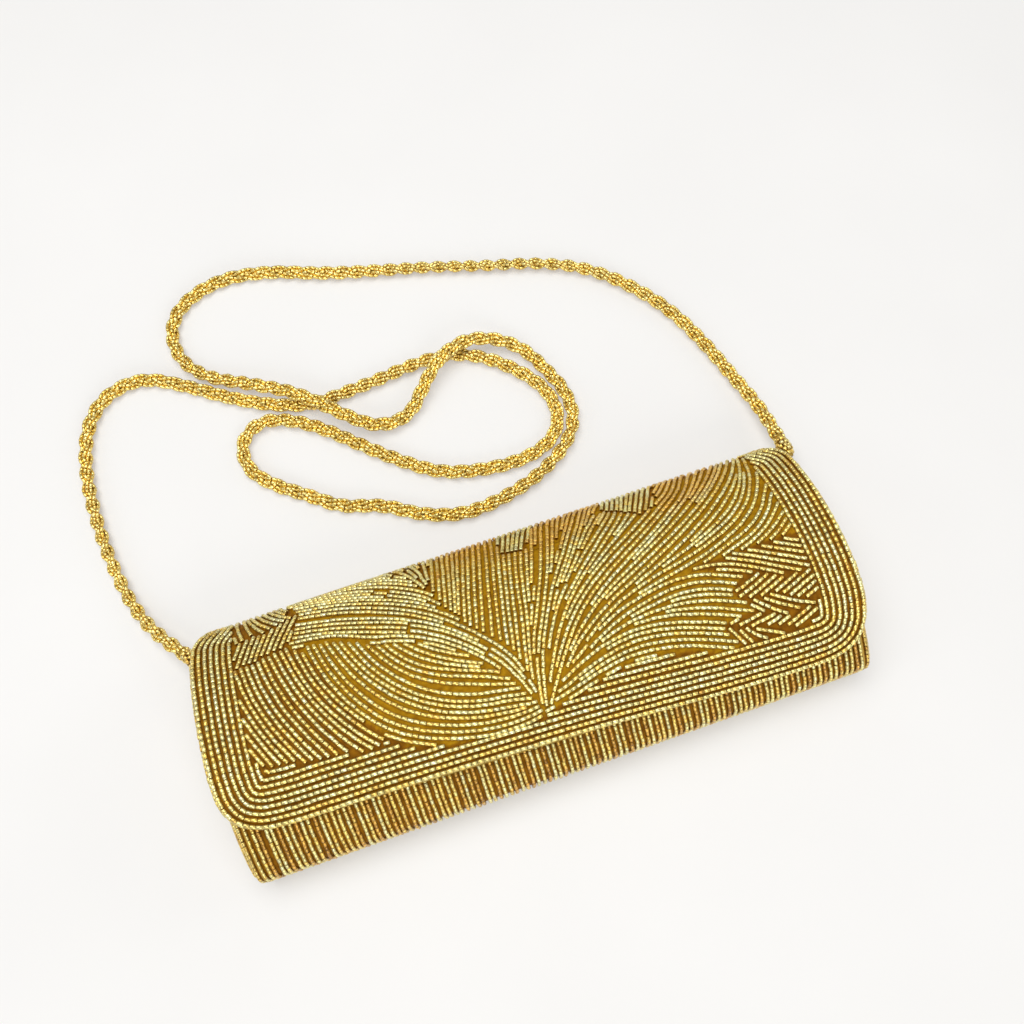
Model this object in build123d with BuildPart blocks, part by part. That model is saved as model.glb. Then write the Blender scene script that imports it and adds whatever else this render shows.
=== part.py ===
from build123d import *
import os
from math import acos, atan2, cos, degrees, pi, radians, sin, sqrt, tan

# Beaded flap clutch with a braided bead shoulder strap, lying on its back.
# X runs along the bag, +Y from its bottom edge to the fold, +Z up from the back panel.
# Every panel follows one of a few arcs in the YZ section, so its layers are ring
# sectors about the same centres.  All lengths are in millimetres.

# ---- driving dimensions ----
flap_length = 240.0          # along X, over the beads
flap_overhang = 2.7          # the flap stands this far past each end of the body
bag_height = 94.4            # from the bottom edge to the outside of the fold
crest_height = 40.0          # highest point of the closed flap
front_radius = 66.0          # curvature of the closed flap, over the beads
fold_radius = 12.0           # outside of the soft fold between back panel and flap
bottom_front_radius = 8.0    # outside corner between front and base
bottom_back_radius = 6.0     # outside corner between base and back

bead_layer = 2.1             # beads sewn on satin
board = 1.6                  # stiff board in the body
stiffener = 1.0              # thinner board in the flap
lining = 0.5
flap_drop = 5.0              # from the flap's beads down to the body's beads

flap_edge_left_y = -31.7     # the flap is cut a little askew: its front edge comes
flap_edge_right_y = -41.7    # closer to the bottom at the right end
flap_front_corner = 19.0
flap_fold_corner = 12.0
binding_width = 1.0

mouth_y = 27.0               # upper edge of the front panel
mouth_back_y = 31.5          # upper edge of the end panels, at the back
bead_strip_y = -26.0         # the front's beads end here, hidden under the flap
mouth_binding_angle = 1.3    # degrees of the front arc

crease_angle = -35.0         # where the fold creases when the flap opens
crease_gap = 2.0             # degrees left free on each side of the crease

snap_y = -15.0
snap_radius = 7.0
snap_hole_radius = 4.2
socket_height = 1.7
stud_plate = 0.95
stud_height = 1.2
stud_base_radius = 2.5
stud_tip_radius = 1.6
washer_radius = 6.0
socket_washer = 0.7
stud_washer = 0.5

pocket_length = 110.0
pocket_low_y = -30.0
pocket_high_y = 8.0
pocket_thickness = 0.7

tab_reach = 122.5
tab_near_y = 29.0
tab_low_y = 37.5
tab_high_y = 41.5
tab_low_z = 7.4
tab_high_z = 11.4
strap_diameter = 5.0
strap_end_radius = 3.2
strap_end_length = 9.0
lie = 2.6                    # height of the strap's centre where it lies flat
mid = 5.5
top = 8.4                    # height of the strap's centre where it crosses itself

# The strap's way across the table, from the left end of the fold to the right end.
strap_route = [
    (-126, 43.5, 8), (-134, 53, mid), (-142, 68, lie), (-146.5, 87, lie),
    (-149, 109, lie), (-149, 132, lie), (-144.5, 151.5, lie), (-134, 163.5, lie),
    (-117.5, 166.5, lie), (-100.5, 156.5, lie), (-84, 144.5, lie), (-67, 135, lie),
    (-51.5, 130, lie), (-38, 131, lie), (-22.5, 132, lie), (-7, 134, lie),
    (8.5, 134, lie), (22, 128.5, lie), (34.5, 117.5, lie), (43.5, 105, lie),
    (45, 91.5, lie), (38, 81.5, lie), (23.5, 77.5, lie), (6, 79, lie),
    (-10, 83.5, lie), (-23, 93, lie), (-36, 104.5, lie), (-49.5, 117.5, lie),
    (-62, 126.5, lie), (-75, 130.5, lie), (-85, 123.5, lie), (-85, 110.5, lie),
    (-76, 100.5, lie), (-63.5, 91.5, lie), (-52.5, 82.5, lie), (-37, 78.5, lie),
    (-22.5, 68.5, lie), (-6, 63, lie), (11, 64.5, lie), (27.5, 69, lie),
    (43, 77, lie), (52.5, 88, lie), (53.5, 101, lie), (48, 113.5, lie),
    (41, 125, lie), (31, 132.5, mid), (17.5, 135.5, top), (3.5, 130, top),
    (-6.5, 120, mid), (-15, 111.5, lie), (-29, 110, mid), (-41.5, 120, top),
    (-55.5, 134.5, top), (-73.5, 146.5, mid), (-90.5, 156.5, lie), (-100, 168, lie),
    (-101.5, 183, lie), (-93.5, 195, lie), (-75.5, 201.5, lie), (-54, 198.5, lie),
    (-31, 189, lie), (-8, 182.5, lie), (15, 176.5, lie), (38, 169, lie),
    (60, 163, lie), (79.5, 153.5, lie), (95.5, 138, lie), (107.5, 120.5, lie),
    (115, 101, lie), (120.5, 82, lie), (124.5, 64.5, mid), (125, 50, 8),
]

# ---- what follows from them ----
bottom_y = -bag_height / 2
fold_y = bag_height / 2
fold_rise = fold_radius + front_radius - crest_height
fold_reach = sqrt((front_radius - fold_radius) ** 2 - fold_rise**2)
fold_centre = (fold_y - fold_radius, fold_radius)
crest_y = fold_centre[0] - fold_reach
front_centre = (crest_y, crest_height - front_radius)
fold_join = degrees(atan2(fold_rise, fold_reach))

body_radius = front_radius - flap_drop
board_radius = body_radius - bead_layer
satin_radius = board_radius + lining
wall = bead_layer + board
cover_half = flap_length / 2 - flap_overhang
panel_half = cover_half - bead_layer
board_half = panel_half - board

corner_y = bottom_y + bottom_front_radius
corner_run = corner_y - crest_y
corner_rise = sqrt((body_radius - bottom_front_radius) ** 2 - corner_run**2)
corner_centre = (corner_y, front_centre[1] + corner_rise)
corner_angle = degrees(atan2(corner_rise, corner_run))
back_corner_centre = (bottom_y + bottom_back_radius, bottom_back_radius)


def front_angle(y, radius):
    """Angle about the front arcs' centre of the point at this y."""
    return degrees(acos((y - crest_y) / radius))


mouth_angle = front_angle(mouth_y, board_radius)
strip_angle = front_angle(bead_strip_y, board_radius)
flap_end_angle = front_angle(flap_edge_right_y - 3, front_radius)
board_edge_angle = fold_join + 10
snap_angle = front_angle(snap_y, satin_radius)
flap_lining_radius = front_radius - bead_layer - stiffener


def sector(centre, outer, inner, start, end):
    """Face between two arcs about one centre."""
    with BuildLine() as outline:
        outside = CenterArc(centre, outer, start, end - start)
        inside = CenterArc(centre, inner, start, end - start)
        Line(outside @ 0, inside @ 0)
        Line(outside @ 1, inside @ 1)
    make_face(outline.edges())


def block(low_y, high_y, low_z, high_z):
    """Rectangular face between these limits of the section."""
    middle = ((low_y + high_y) / 2, (low_z + high_z) / 2)
    with Locations(middle):
        Rectangle(high_y - low_y, high_z - low_z)


def side_outline(inset, stretch=0.0):
    """Shape of the body's end, moved inwards from its beads by inset."""
    radius = body_radius - inset
    start = mouth_angle - stretch
    with BuildLine() as outline:
        front = CenterArc(front_centre, radius, start, corner_angle - start)
        front_corner = CenterArc(
            corner_centre, bottom_front_radius - inset, corner_angle, 180 - corner_angle
        )
        back_corner = CenterArc(back_corner_centre, bottom_back_radius - inset, 180, 90)
        Line(front_corner @ 1, back_corner @ 0)
        back = Line(back_corner @ 1, (mouth_back_y + stretch, inset))
        Line(back @ 1, front @ 0)
    make_face(outline.edges())


def flap_planform(inset):
    """The flap's outline from above, moved inwards from its edge by inset."""
    half = flap_length / 2 - inset
    fold_corners = [(-half, fold_y + 1), (half, fold_y + 1)]
    front_corners = [(half, flap_edge_right_y + inset), (-half, flap_edge_left_y + inset)]
    with BuildLine() as outline:
        Polyline(*fold_corners, *front_corners, close=True)
    face = make_face(outline.edges())
    face = fillet(face.vertices().filter_by(lambda v: v.Y > 0), flap_fold_corner - inset)
    fillet(face.vertices().filter_by(lambda v: v.Y < 0), flap_front_corner - inset)


def snap_plane(radius):
    """Plane that touches the front arc of this radius at the snap."""
    angle = radians(snap_angle)
    y = front_centre[0] + radius * cos(angle)
    z = front_centre[1] + radius * sin(angle)
    return Plane(origin=(0, y, z), x_dir=(1, 0, 0), z_dir=(0, cos(angle), sin(angle)))


def snap_disc(outer, inner, radius):
    """Round plate that follows the front arcs between two radii."""
    with BuildSketch(Plane.YZ) as layer:
        sector(front_centre, outer, inner, snap_angle - 12, snap_angle + 12)
    extrude(layer.sketch, amount=2 * radius, both=True)
    with BuildSketch(snap_plane(inner)) as outline:
        Circle(radius)
    extrude(outline.sketch, amount=10, both=True, mode=Mode.INTERSECT)


os.makedirs("parts", exist_ok=True)


def save(part, name):
    part.label = name
    export_step(part, f"parts/{name}.step")


# ---- body: stiff boards ----
with BuildPart() as front_board:
    with BuildSketch(Plane.YZ):
        sector(front_centre, board_radius, board_radius - board, mouth_angle, corner_angle)
    extrude(amount=board_half, both=True)
    # seat for the washer behind the snap
    with BuildSketch(snap_plane(board_radius - board - 1)):
        Circle(washer_radius)
    seat_depth = 1 + socket_washer
    extrude(amount=seat_depth, mode=Mode.SUBTRACT)
save(front_board.part, "front_board")

with BuildPart() as base_board:
    with BuildSketch(Plane.YZ):
        front_bend = bottom_front_radius - bead_layer
        back_bend = bottom_back_radius - bead_layer
        sector(corner_centre, front_bend, front_bend - board, corner_angle, 180)
        block(bottom_y + bead_layer, bottom_y + wall, bottom_back_radius, corner_centre[1])
        sector(back_corner_centre, back_bend, back_bend - board, 180, 270)
    extrude(amount=board_half, both=True)
save(base_board.part, "base_board")

with BuildPart() as back_board:
    with BuildSketch(Plane.YZ):
        block(bottom_y + bottom_back_radius, mouth_back_y, bead_layer, wall)
    extrude(amount=board_half, both=True)
save(back_board.part, "back_board")

for side, x in (("left", -panel_half), ("right", board_half)):
    with BuildPart() as end_board:
        with BuildSketch(Plane.YZ.offset(x)):
            side_outline(bead_layer)
        extrude(amount=board)
    save(end_board.part, f"{side}_end_board")

# ---- body: beaded satin around the boards ----
with BuildPart() as front_bead_panel:
    with BuildSketch(Plane.YZ):
        sector(front_centre, body_radius, board_radius, strip_angle, corner_angle)
    extrude(amount=panel_half, both=True)
save(front_bead_panel.part, "front_bead_panel")

with BuildPart() as base_bead_panel:
    with BuildSketch(Plane.YZ):
        sector(corner_centre, bottom_front_radius, front_bend, corner_angle, 180)
        block(bottom_y, bottom_y + bead_layer, bottom_back_radius, corner_centre[1])
        sector(back_corner_centre, bottom_back_radius, back_bend, 180, 270)
    extrude(amount=panel_half, both=True)
save(base_bead_panel.part, "base_bead_panel")

fold_inner = fold_radius - bead_layer
with BuildPart() as back_bead_panel:
    # lower half of the fold, as long as the flap and rounded like it
    with BuildSketch(Plane.YZ):
        sector(fold_centre, fold_radius, fold_inner, -90, crease_angle - crease_gap)
        block(mouth_back_y + 1, fold_centre[0], 0, bead_layer)
    extrude(amount=flap_length / 2, both=True)
    with BuildSketch(Plane.XY):
        flap_planform(0)
    extrude(amount=fold_radius, mode=Mode.INTERSECT)
    with BuildSketch(Plane.YZ):
        block(bottom_y + bottom_back_radius, fold_centre[0], 0, bead_layer)
    extrude(amount=panel_half, both=True)
save(back_bead_panel.part, "back_bead_panel")

for side, x in (("left", -cover_half), ("right", panel_half)):
    with BuildPart() as end_cover:
        with BuildSketch(Plane.YZ.offset(x)):
            side_outline(0)
        extrude(amount=bead_layer)
    save(end_cover.part, f"{side}_end_cover")

# ---- body: satin and lining ----
with BuildPart() as front_satin_panel:
    with BuildSketch(Plane.YZ):
        sector(front_centre, satin_radius, board_radius, mouth_angle, strip_angle)
    extrude(amount=panel_half, both=True)
save(front_satin_panel.part, "front_satin_panel")

with BuildPart() as lining_pouch:
    with BuildSketch(Plane.YZ):
        side_outline(wall, stretch=-1.2)
    extrude(amount=board_half, both=True)
    with BuildSketch(Plane.YZ):
        side_outline(wall + lining, stretch=3)
    extrude(amount=board_half - lining, both=True, mode=Mode.SUBTRACT)
save(lining_pouch.part, "lining_pouch")

with BuildPart() as fold_lining:
    with BuildSketch(Plane.YZ):
        sector(fold_centre, fold_inner, fold_inner - lining, -90, crease_angle - crease_gap)
        block(mouth_back_y, fold_centre[0], bead_layer, bead_layer + lining)
    extrude(amount=flap_length / 2 - flap_fold_corner / 2, both=True)
save(fold_lining.part, "fold_lining")

with BuildPart() as slip_pocket:
    with BuildSketch(Plane.XY.offset(wall + lining)):
        with Locations((0, (pocket_low_y + pocket_high_y) / 2)):
            RectangleRounded(pocket_length, pocket_high_y - pocket_low_y, 4)
    extrude(amount=pocket_thickness)
save(slip_pocket.part, "slip_pocket")

with BuildPart() as mouth_binding:
    with BuildSketch(Plane.YZ):
        binding_outer = satin_radius + 0.3
        binding_inner = board_radius - board - lining - 0.3
        binding_start = mouth_angle - mouth_binding_angle
        sector(front_centre, binding_outer, binding_inner, binding_start, mouth_angle)
    extrude(amount=board_half, both=True)
save(mouth_binding.part, "mouth_binding")

# ---- magnetic snap ----
with BuildPart() as snap_socket:
    snap_disc(satin_radius + socket_height, satin_radius, snap_radius)
    with BuildSketch(snap_plane(satin_radius)):
        Circle(snap_hole_radius)
    extrude(amount=5, both=True, mode=Mode.SUBTRACT)
save(snap_socket.part, "snap_socket")

with BuildPart() as snap_socket_washer:
    with BuildSketch(snap_plane(board_radius - board - 1)):
        Circle(washer_radius)
    extrude(amount=seat_depth)
    with BuildSketch(Plane.YZ):
        sector(front_centre, board_radius, board_radius - board, mouth_angle, corner_angle)
    extrude(amount=board_half, both=True, mode=Mode.INTERSECT)
save(snap_socket_washer.part, "snap_socket_washer")

stud_top = flap_lining_radius - lining
with BuildPart() as snap_stud:
    snap_disc(stud_top, stud_top - stud_plate, snap_radius)
    with BuildSketch(snap_plane(stud_top - stud_plate + 0.2)):
        Circle(stud_base_radius)
    with BuildSketch(snap_plane(stud_top - stud_plate - stud_height)):
        Circle(stud_tip_radius)
    loft()
save(snap_stud.part, "snap_stud")

with BuildPart() as snap_stud_washer:
    snap_disc(flap_lining_radius + stud_washer, flap_lining_radius, washer_radius)
save(snap_stud_washer.part, "snap_stud_washer")

# ---- flap ----
with BuildPart() as flap_bead_skin:
    with BuildSketch(Plane.YZ):
        skin_inner = front_radius - bead_layer
        sector(front_centre, front_radius, skin_inner, fold_join, flap_end_angle)
        sector(fold_centre, fold_radius, fold_inner, crease_angle + crease_gap, fold_join)
    extrude(amount=flap_length / 2, both=True)
    with BuildSketch(Plane.XY):
        flap_planform(0)
    extrude(amount=2 * crest_height, mode=Mode.INTERSECT)
save(flap_bead_skin.part, "flap_bead_skin")

with BuildPart() as flap_stiffener:
    with BuildSketch(Plane.YZ):
        sector(front_centre, skin_inner, flap_lining_radius, board_edge_angle, flap_end_angle)
    extrude(amount=flap_length / 2, both=True)
    with BuildSketch(Plane.XY):
        flap_planform(binding_width)
    extrude(amount=2 * crest_height, mode=Mode.INTERSECT)
    # seat for the washer behind the stud
    with BuildSketch(Plane.YZ):
        seat_top = flap_lining_radius + stud_washer
        sector(front_centre, seat_top, flap_lining_radius, snap_angle - 12, snap_angle + 12)
    seat = extrude(amount=2 * washer_radius, both=True, mode=Mode.PRIVATE)
    with BuildSketch(snap_plane(flap_lining_radius)):
        Circle(washer_radius)
    seat_cylinder = extrude(amount=10, both=True, mode=Mode.PRIVATE)
    add(seat & seat_cylinder, mode=Mode.SUBTRACT)
save(flap_stiffener.part, "flap_stiffener")

with BuildPart() as flap_lining:
    with BuildSketch(Plane.YZ):
        # under the stiffener, then up to the beads at its edge, then round the fold
        low = flap_lining_radius - lining
        step_angle = board_edge_angle - 1
        sector(front_centre, flap_lining_radius, low, step_angle, flap_end_angle)
        sector(front_centre, skin_inner, low, step_angle, board_edge_angle)
        sector(front_centre, skin_inner, skin_inner - lining, fold_join, step_angle)
        round_start = crease_angle + crease_gap
        sector(fold_centre, fold_inner, fold_inner - lining, round_start, fold_join)
    extrude(amount=flap_length / 2, both=True)
    with BuildSketch(Plane.XY):
        flap_planform(binding_width)
    extrude(amount=2 * crest_height, mode=Mode.INTERSECT)
save(flap_lining.part, "flap_lining")

with BuildPart() as flap_edge_binding:
    with BuildSketch(Plane.YZ):
        sector(front_centre, skin_inner, low, board_edge_angle, flap_end_angle)
    extrude(amount=flap_length / 2, both=True)
    with BuildSketch(Plane.XY):
        flap_planform(0)
    extrude(amount=2 * crest_height, mode=Mode.INTERSECT)
    with BuildSketch(Plane.XY):
        flap_planform(binding_width)
    extrude(amount=2 * crest_height, mode=Mode.SUBTRACT)
save(flap_edge_binding.part, "flap_edge_binding")

# ---- shoulder strap ----
points = [Vector(*point) for point in strap_route]
bend_radii = []
for before, here, after in zip(points, points[1:], points[2:]):
    arriving = here - before
    leaving = after - here
    turn = radians(arriving.get_angle(leaving))
    shorter = min(arriving.length, leaving.length)
    bend_radii.append(0.45 * shorter / tan(turn / 2))
print("strap bend radii", [round(r, 1) for r in bend_radii])

with BuildPart() as strap_braid:
    with BuildLine() as strap_line:
        FilletPolyline(*points, radius=bend_radii)
    path = strap_line.wires()[0]
    with BuildSketch(Plane(origin=path @ 0, z_dir=path % 0)):
        Circle(strap_diameter / 2)
    sweep(path=path)
section_area = pi * strap_diameter**2 / 4
length_from_volume = strap_braid.part.volume / section_area
print("strap length", round(path.length, 1), "from volume", round(length_from_volume, 1))
save(strap_braid.part, "strap_braid")

left_way = (points[0] - points[1]).normalized()
right_way = (points[-1] - points[-2]).normalized()
for side, sign, start, way in (
    ("left", -1, points[0], left_way),
    ("right", 1, points[-1], right_way),
):
    with BuildPart() as strap_end:
        with BuildSketch(Plane(origin=start, z_dir=way)):
            Circle(strap_end_radius)
        extrude(amount=strap_end_length)
    save(strap_end.part, f"strap_end_{side}")

    with BuildPart() as strap_tab:
        with BuildSketch(Plane.XY.offset(tab_low_z)):
            inside = sign * board_half
            outside = sign * panel_half
            reach = sign * tab_reach
            with BuildLine():
                Polyline(
                    (inside, tab_near_y),
                    (outside, tab_near_y),
                    (outside, tab_low_y),
                    (reach, tab_low_y),
                    (reach, tab_high_y),
                    (inside, tab_high_y),
                    close=True,
                )
            make_face()
        extrude(amount=tab_high_z - tab_low_z)
    save(strap_tab.part, f"strap_tab_{side}")
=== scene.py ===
import math

import bpy
import numpy as np
from mathutils import Matrix, Vector, noise


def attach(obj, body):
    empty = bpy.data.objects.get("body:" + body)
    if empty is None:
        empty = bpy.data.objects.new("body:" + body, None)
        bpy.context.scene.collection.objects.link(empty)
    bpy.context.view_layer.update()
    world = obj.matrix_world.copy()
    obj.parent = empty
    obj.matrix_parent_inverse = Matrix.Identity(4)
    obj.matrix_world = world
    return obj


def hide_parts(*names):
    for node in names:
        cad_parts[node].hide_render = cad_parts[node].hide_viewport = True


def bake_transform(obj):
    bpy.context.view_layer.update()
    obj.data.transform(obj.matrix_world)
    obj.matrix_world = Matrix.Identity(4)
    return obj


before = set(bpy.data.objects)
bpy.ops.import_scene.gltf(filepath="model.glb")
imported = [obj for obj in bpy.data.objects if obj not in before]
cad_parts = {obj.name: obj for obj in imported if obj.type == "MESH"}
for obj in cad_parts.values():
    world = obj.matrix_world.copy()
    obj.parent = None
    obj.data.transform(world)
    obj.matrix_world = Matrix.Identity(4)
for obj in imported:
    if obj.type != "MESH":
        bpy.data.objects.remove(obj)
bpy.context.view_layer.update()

# The bag is worked out in millimetres, like its CAD, and meshes are written in metres.
MM = 0.001
random = np.random.default_rng(23)
SIDES = {"left": -1, "right": 1}
X_AXIS = np.array([1.0, 0, 0])
Y_AXIS = np.array([0, 1.0, 0])
Z_AXIS = np.array([0, 0, 1.0])


def unit(vectors):
    return vectors / np.linalg.norm(vectors, axis=-1, keepdims=True)


def lengths_along(line):
    """Length from a line's start to each of its points."""
    return np.r_[0, np.cumsum(np.linalg.norm(np.diff(line, axis=0), axis=1))]


def spread(vector, count):
    """The same vector for each of count points."""
    return np.tile(np.asarray(vector, float), (count, 1))


# ---------------------------------------------------------------- camera and lights

CAMERA_PLACE = (-22.4, -57.5, 390.1)
CAMERA_RIGHT = (0.9459, -0.3242, -0.0121)
CAMERA_UP = (0.3130, 0.9023, 0.2966)
CAMERA_BACK = (-0.0853, -0.2843, 0.9549)
CAMERA_LENS = 35.1
LIT_PLACE = Vector((0, 0.05, 0))
ROOM_LIGHT = 0.3
WALL_PALENESS = 0.94


def add_camera():
    data = bpy.data.cameras.new("camera")
    data.lens = CAMERA_LENS
    data.sensor_width = 36
    camera = bpy.data.objects.new("camera", data)
    turn = Matrix((CAMERA_RIGHT, CAMERA_UP, CAMERA_BACK)).transposed()
    camera.matrix_world = Matrix.Translation(Vector(CAMERA_PLACE) * MM) @ turn.to_4x4()
    bpy.context.scene.collection.objects.link(camera)
    bpy.context.scene.camera = camera


def add_area_light(name, place, size, power):
    data = bpy.data.lights.new(name, "AREA")
    data.size = size
    data.energy = power
    light = bpy.data.objects.new(name, data)
    light.location = place
    direction = LIT_PLACE - Vector(place)
    light.rotation_euler = direction.to_track_quat("-Z", "Y").to_euler()
    bpy.context.scene.collection.objects.link(light)


def add_lights():
    add_area_light("overhead", (-0.1, 0.2, 0.95), 0.8, 7.8)
    add_area_light("front", (0.05, -0.9, 0.5), 0.6, 4.2)
    add_area_light("left", (-0.9, 0.1, 0.45), 0.5, 1.2)
    add_area_light("right", (0.9, 0.15, 0.45), 0.5, 1.2)
    world = bpy.data.worlds.new("studio")
    world.use_nodes = True
    tree = world.node_tree
    background = tree.nodes["Background"]
    background.inputs["Color"].default_value = (1.0, 0.99, 0.98, 1)
    # the studio's wall is as pale as the floor to the eye, and a soft light on the bag
    rays = tree.nodes.new("ShaderNodeLightPath")
    strength = tree.nodes.new("ShaderNodeMapRange")
    strength.inputs["To Min"].default_value = ROOM_LIGHT
    strength.inputs["To Max"].default_value = WALL_PALENESS
    tree.links.new(rays.outputs["Is Camera Ray"], strength.inputs["Value"])
    tree.links.new(strength.outputs["Result"], background.inputs["Strength"])
    bpy.context.scene.world = world
    bpy.context.scene.view_settings.view_transform = "Standard"


# ---------------------------------------------------------------- materials


class Shader:
    """A material under construction, with short ways to add and join its nodes."""

    def __init__(self, name):
        self.material = bpy.data.materials.new(name)
        self.material.use_nodes = True
        self.tree = self.material.node_tree
        self.surface = self.tree.nodes["Principled BSDF"]

    def node(self, kind, **settings):
        made = self.tree.nodes.new(kind)
        for key, value in settings.items():
            setattr(made, key, value)
        return made

    def feed(self, entry, value):
        """Joins an output to an input, or sets the input to a number or colour."""
        if isinstance(value, bpy.types.NodeSocket):
            self.tree.links.new(value, entry)
        else:
            entry.default_value = (*value, 1) if isinstance(value, tuple) else value

    def set(self, node=None, **values):
        """Feeds inputs of a node, or of the surface. A blank in a name is written _."""
        inputs = (node or self.surface).inputs
        for key, value in values.items():
            self.feed(inputs[key.replace("_", " ")], value)

    def attribute(self, name):
        return self.node("ShaderNodeAttribute", attribute_name=name).outputs["Fac"]

    def ramp(self, value, *stops):
        made = self.node("ShaderNodeValToRGB")
        elements = made.color_ramp.elements
        while len(elements) < len(stops):
            elements.new(0.5)
        for element, (place, colour) in zip(elements, stops):
            element.position = place
            element.color = (*colour, 1)
        self.set(made, Fac=value)
        return made.outputs["Color"]

    def mix(self, factor, first, second):
        made = self.node("ShaderNodeMix", data_type="RGBA")
        for entry, value in ((0, factor), (6, first), (7, second)):
            self.feed(made.inputs[entry], value)
        return made.outputs[2]

    def maths(self, operation, *values):
        made = self.node("ShaderNodeMath", operation=operation)
        for entry, value in zip(made.inputs, values):
            self.feed(entry, value)
        return made.outputs[0]

    def scaled(self, value, factor, base):
        return self.maths("MULTIPLY_ADD", value, factor, base)

    def position(self):
        return self.node("ShaderNodeTexCoord").outputs["Object"]

    def noise(self, scale, detail=3.0):
        made = self.node("ShaderNodeTexNoise")
        self.set(made, Scale=scale, Detail=detail, Vector=self.position())
        return made.outputs["Fac"]

    def wave(self, scale, direction, distortion=0.5):
        made = self.node("ShaderNodeTexWave", bands_direction=direction)
        self.set(made, Scale=scale, Distortion=distortion, Vector=self.position())
        return made.outputs["Fac"]

    def bump(self, height, strength, distance):
        made = self.node("ShaderNodeBump")
        self.set(made, Strength=strength, Distance=distance, Height=height)
        self.set(Normal=made.outputs["Normal"])


def bead_glass(name, stops, warm_colour, hole_and_side_shade_colour, roughness):
    """Silver-lined glass: each bead its own shade, with painted shade on its sides and darker at its holes.
    """
    shader = Shader(name)
    shade = shader.ramp(shader.attribute("tone"), *stops)
    shade = shader.mix(shader.attribute("warm"), shade, warm_colour)
    island = shader.node("ShaderNodeNewGeometry").outputs["Random Per Island"]
    varied = shader.node("ShaderNodeHueSaturation")
    shader.set(varied, Value=shader.scaled(island, 0.4, 0.75), Color=shade)
    # the end attribute mixes in painted shade on each bead's sides, as well as the dark of its holes
    shader.set(
        Base_Color=shader.mix(shader.attribute("end"), varied.outputs["Color"], hole_and_side_shade_colour),
        Roughness=shader.scaled(shader.noise(900), 0.2, roughness),
        Metallic=0.85,
        Coat_Weight=0.4,
        Coat_Roughness=0.1,
    )
    shader.bump(shader.noise(1500), 0.15, 0.0001)
    return shader.material


def sewn_ground():
    """Satin under the beads: olive gold inside the petals, brown elsewhere."""
    shader = Shader("sewn_ground")
    worn = shader.noise(420)
    gold = shader.ramp(worn, (0.3, (0.26, 0.12, 0.002)), (0.7, (0.44, 0.23, 0.005)))
    brown = shader.ramp(worn, (0.3, (0.16, 0.06, 0.002)), (0.7, (0.29, 0.12, 0.004)))
    colour = shader.mix(shader.attribute("petal"), brown, gold)
    shader.set(Base_Color=colour, Roughness=0.6, Specular_IOR_Level=0.06)
    weave = shader.maths("MULTIPLY", shader.wave(900, "X"), shader.wave(900, "Y"))
    shader.bump(weave, 0.4, 0.0002)
    return shader.material


def satin(name, dark, light, sheen):
    """Satin with clouded colour and fine slanting threads."""
    shader = Shader(name)
    threads = shader.wave(1400, "DIAGONAL", 1.5)
    cloud = shader.maths("MULTIPLY", shader.maths("ADD", shader.noise(55, 5), threads), 0.5)
    shader.set(
        Base_Color=shader.ramp(cloud, (0.3, dark), (0.75, light)),
        Roughness=shader.scaled(threads, 0.15, 0.42),
        Sheen_Weight=sheen,
        Sheen_Tint=light,
        Anisotropic=0.4,
        Specular_IOR_Level=0.25,
    )
    shader.bump(shader.maths("ADD", threads, shader.noise(180)), 0.25, 0.0003)
    return shader.material


def plated_brass():
    shader = Shader("plated_brass")
    worn = shader.ramp(shader.noise(220, 6), (0.35, (0.62, 0.43, 0.16)), (0.7, (0.86, 0.66, 0.32)))
    brushed = shader.scaled(shader.wave(1500, "Z", 6), 0.15, 0.2)
    shader.set(Base_Color=worn, Roughness=brushed, Metallic=1.0)
    shader.bump(shader.noise(900), 0.1, 0.0001)
    return shader.material


def bag_board():
    shader = Shader("bag_board")
    fibres = shader.noise(700, 8)
    shade = shader.ramp(fibres, (0.3, (0.40, 0.25, 0.06)), (0.7, (0.56, 0.38, 0.13)))
    shader.set(Base_Color=shade, Roughness=0.85)
    shader.bump(fibres, 0.3, 0.0003)
    return shader.material


def table_top():
    """Pale floor. It glows a little, more where the lights no longer reach, so that it stays even."""
    shader = Shader("table_top")
    away = shader.node("ShaderNodeVectorMath", operation="LENGTH")
    shader.feed(away.inputs[0], shader.position())
    glow = shader.node("ShaderNodeMapRange", interpolation_type="SMOOTHSTEP")
    shader.set(glow, Value=away.outputs["Value"], From_Min=0.45, From_Max=1.7, To_Min=0.33, To_Max=0.78)
    shader.set(
        Base_Color=shader.ramp(shader.noise(9), (0.3, (0.505, 0.5, 0.49)), (0.7, (0.525, 0.52, 0.51))),
        Roughness=0.9,
        Specular_IOR_Level=0.1,
        Emission_Color=(1, 0.99, 0.975),
        Emission_Strength=glow.outputs["Result"],
    )
    return shader.material


GOLD_SHADES = [
    (0.0, (0.30, 0.13, 0.02)),
    (0.35, (0.78, 0.44, 0.08)),
    (0.6, (1.0, 0.71, 0.16)),
    (0.8, (1.0, 0.87, 0.33)),
    (1.0, (1.0, 0.96, 0.52)),
]
STRAP_SHADES = [
    (0.0, (0.60, 0.32, 0.01)),
    (0.5, (0.95, 0.62, 0.06)),
    (1.0, (1.0, 0.86, 0.34)),
]
ORANGE = (1.0, 0.57, 0.09)
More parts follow.
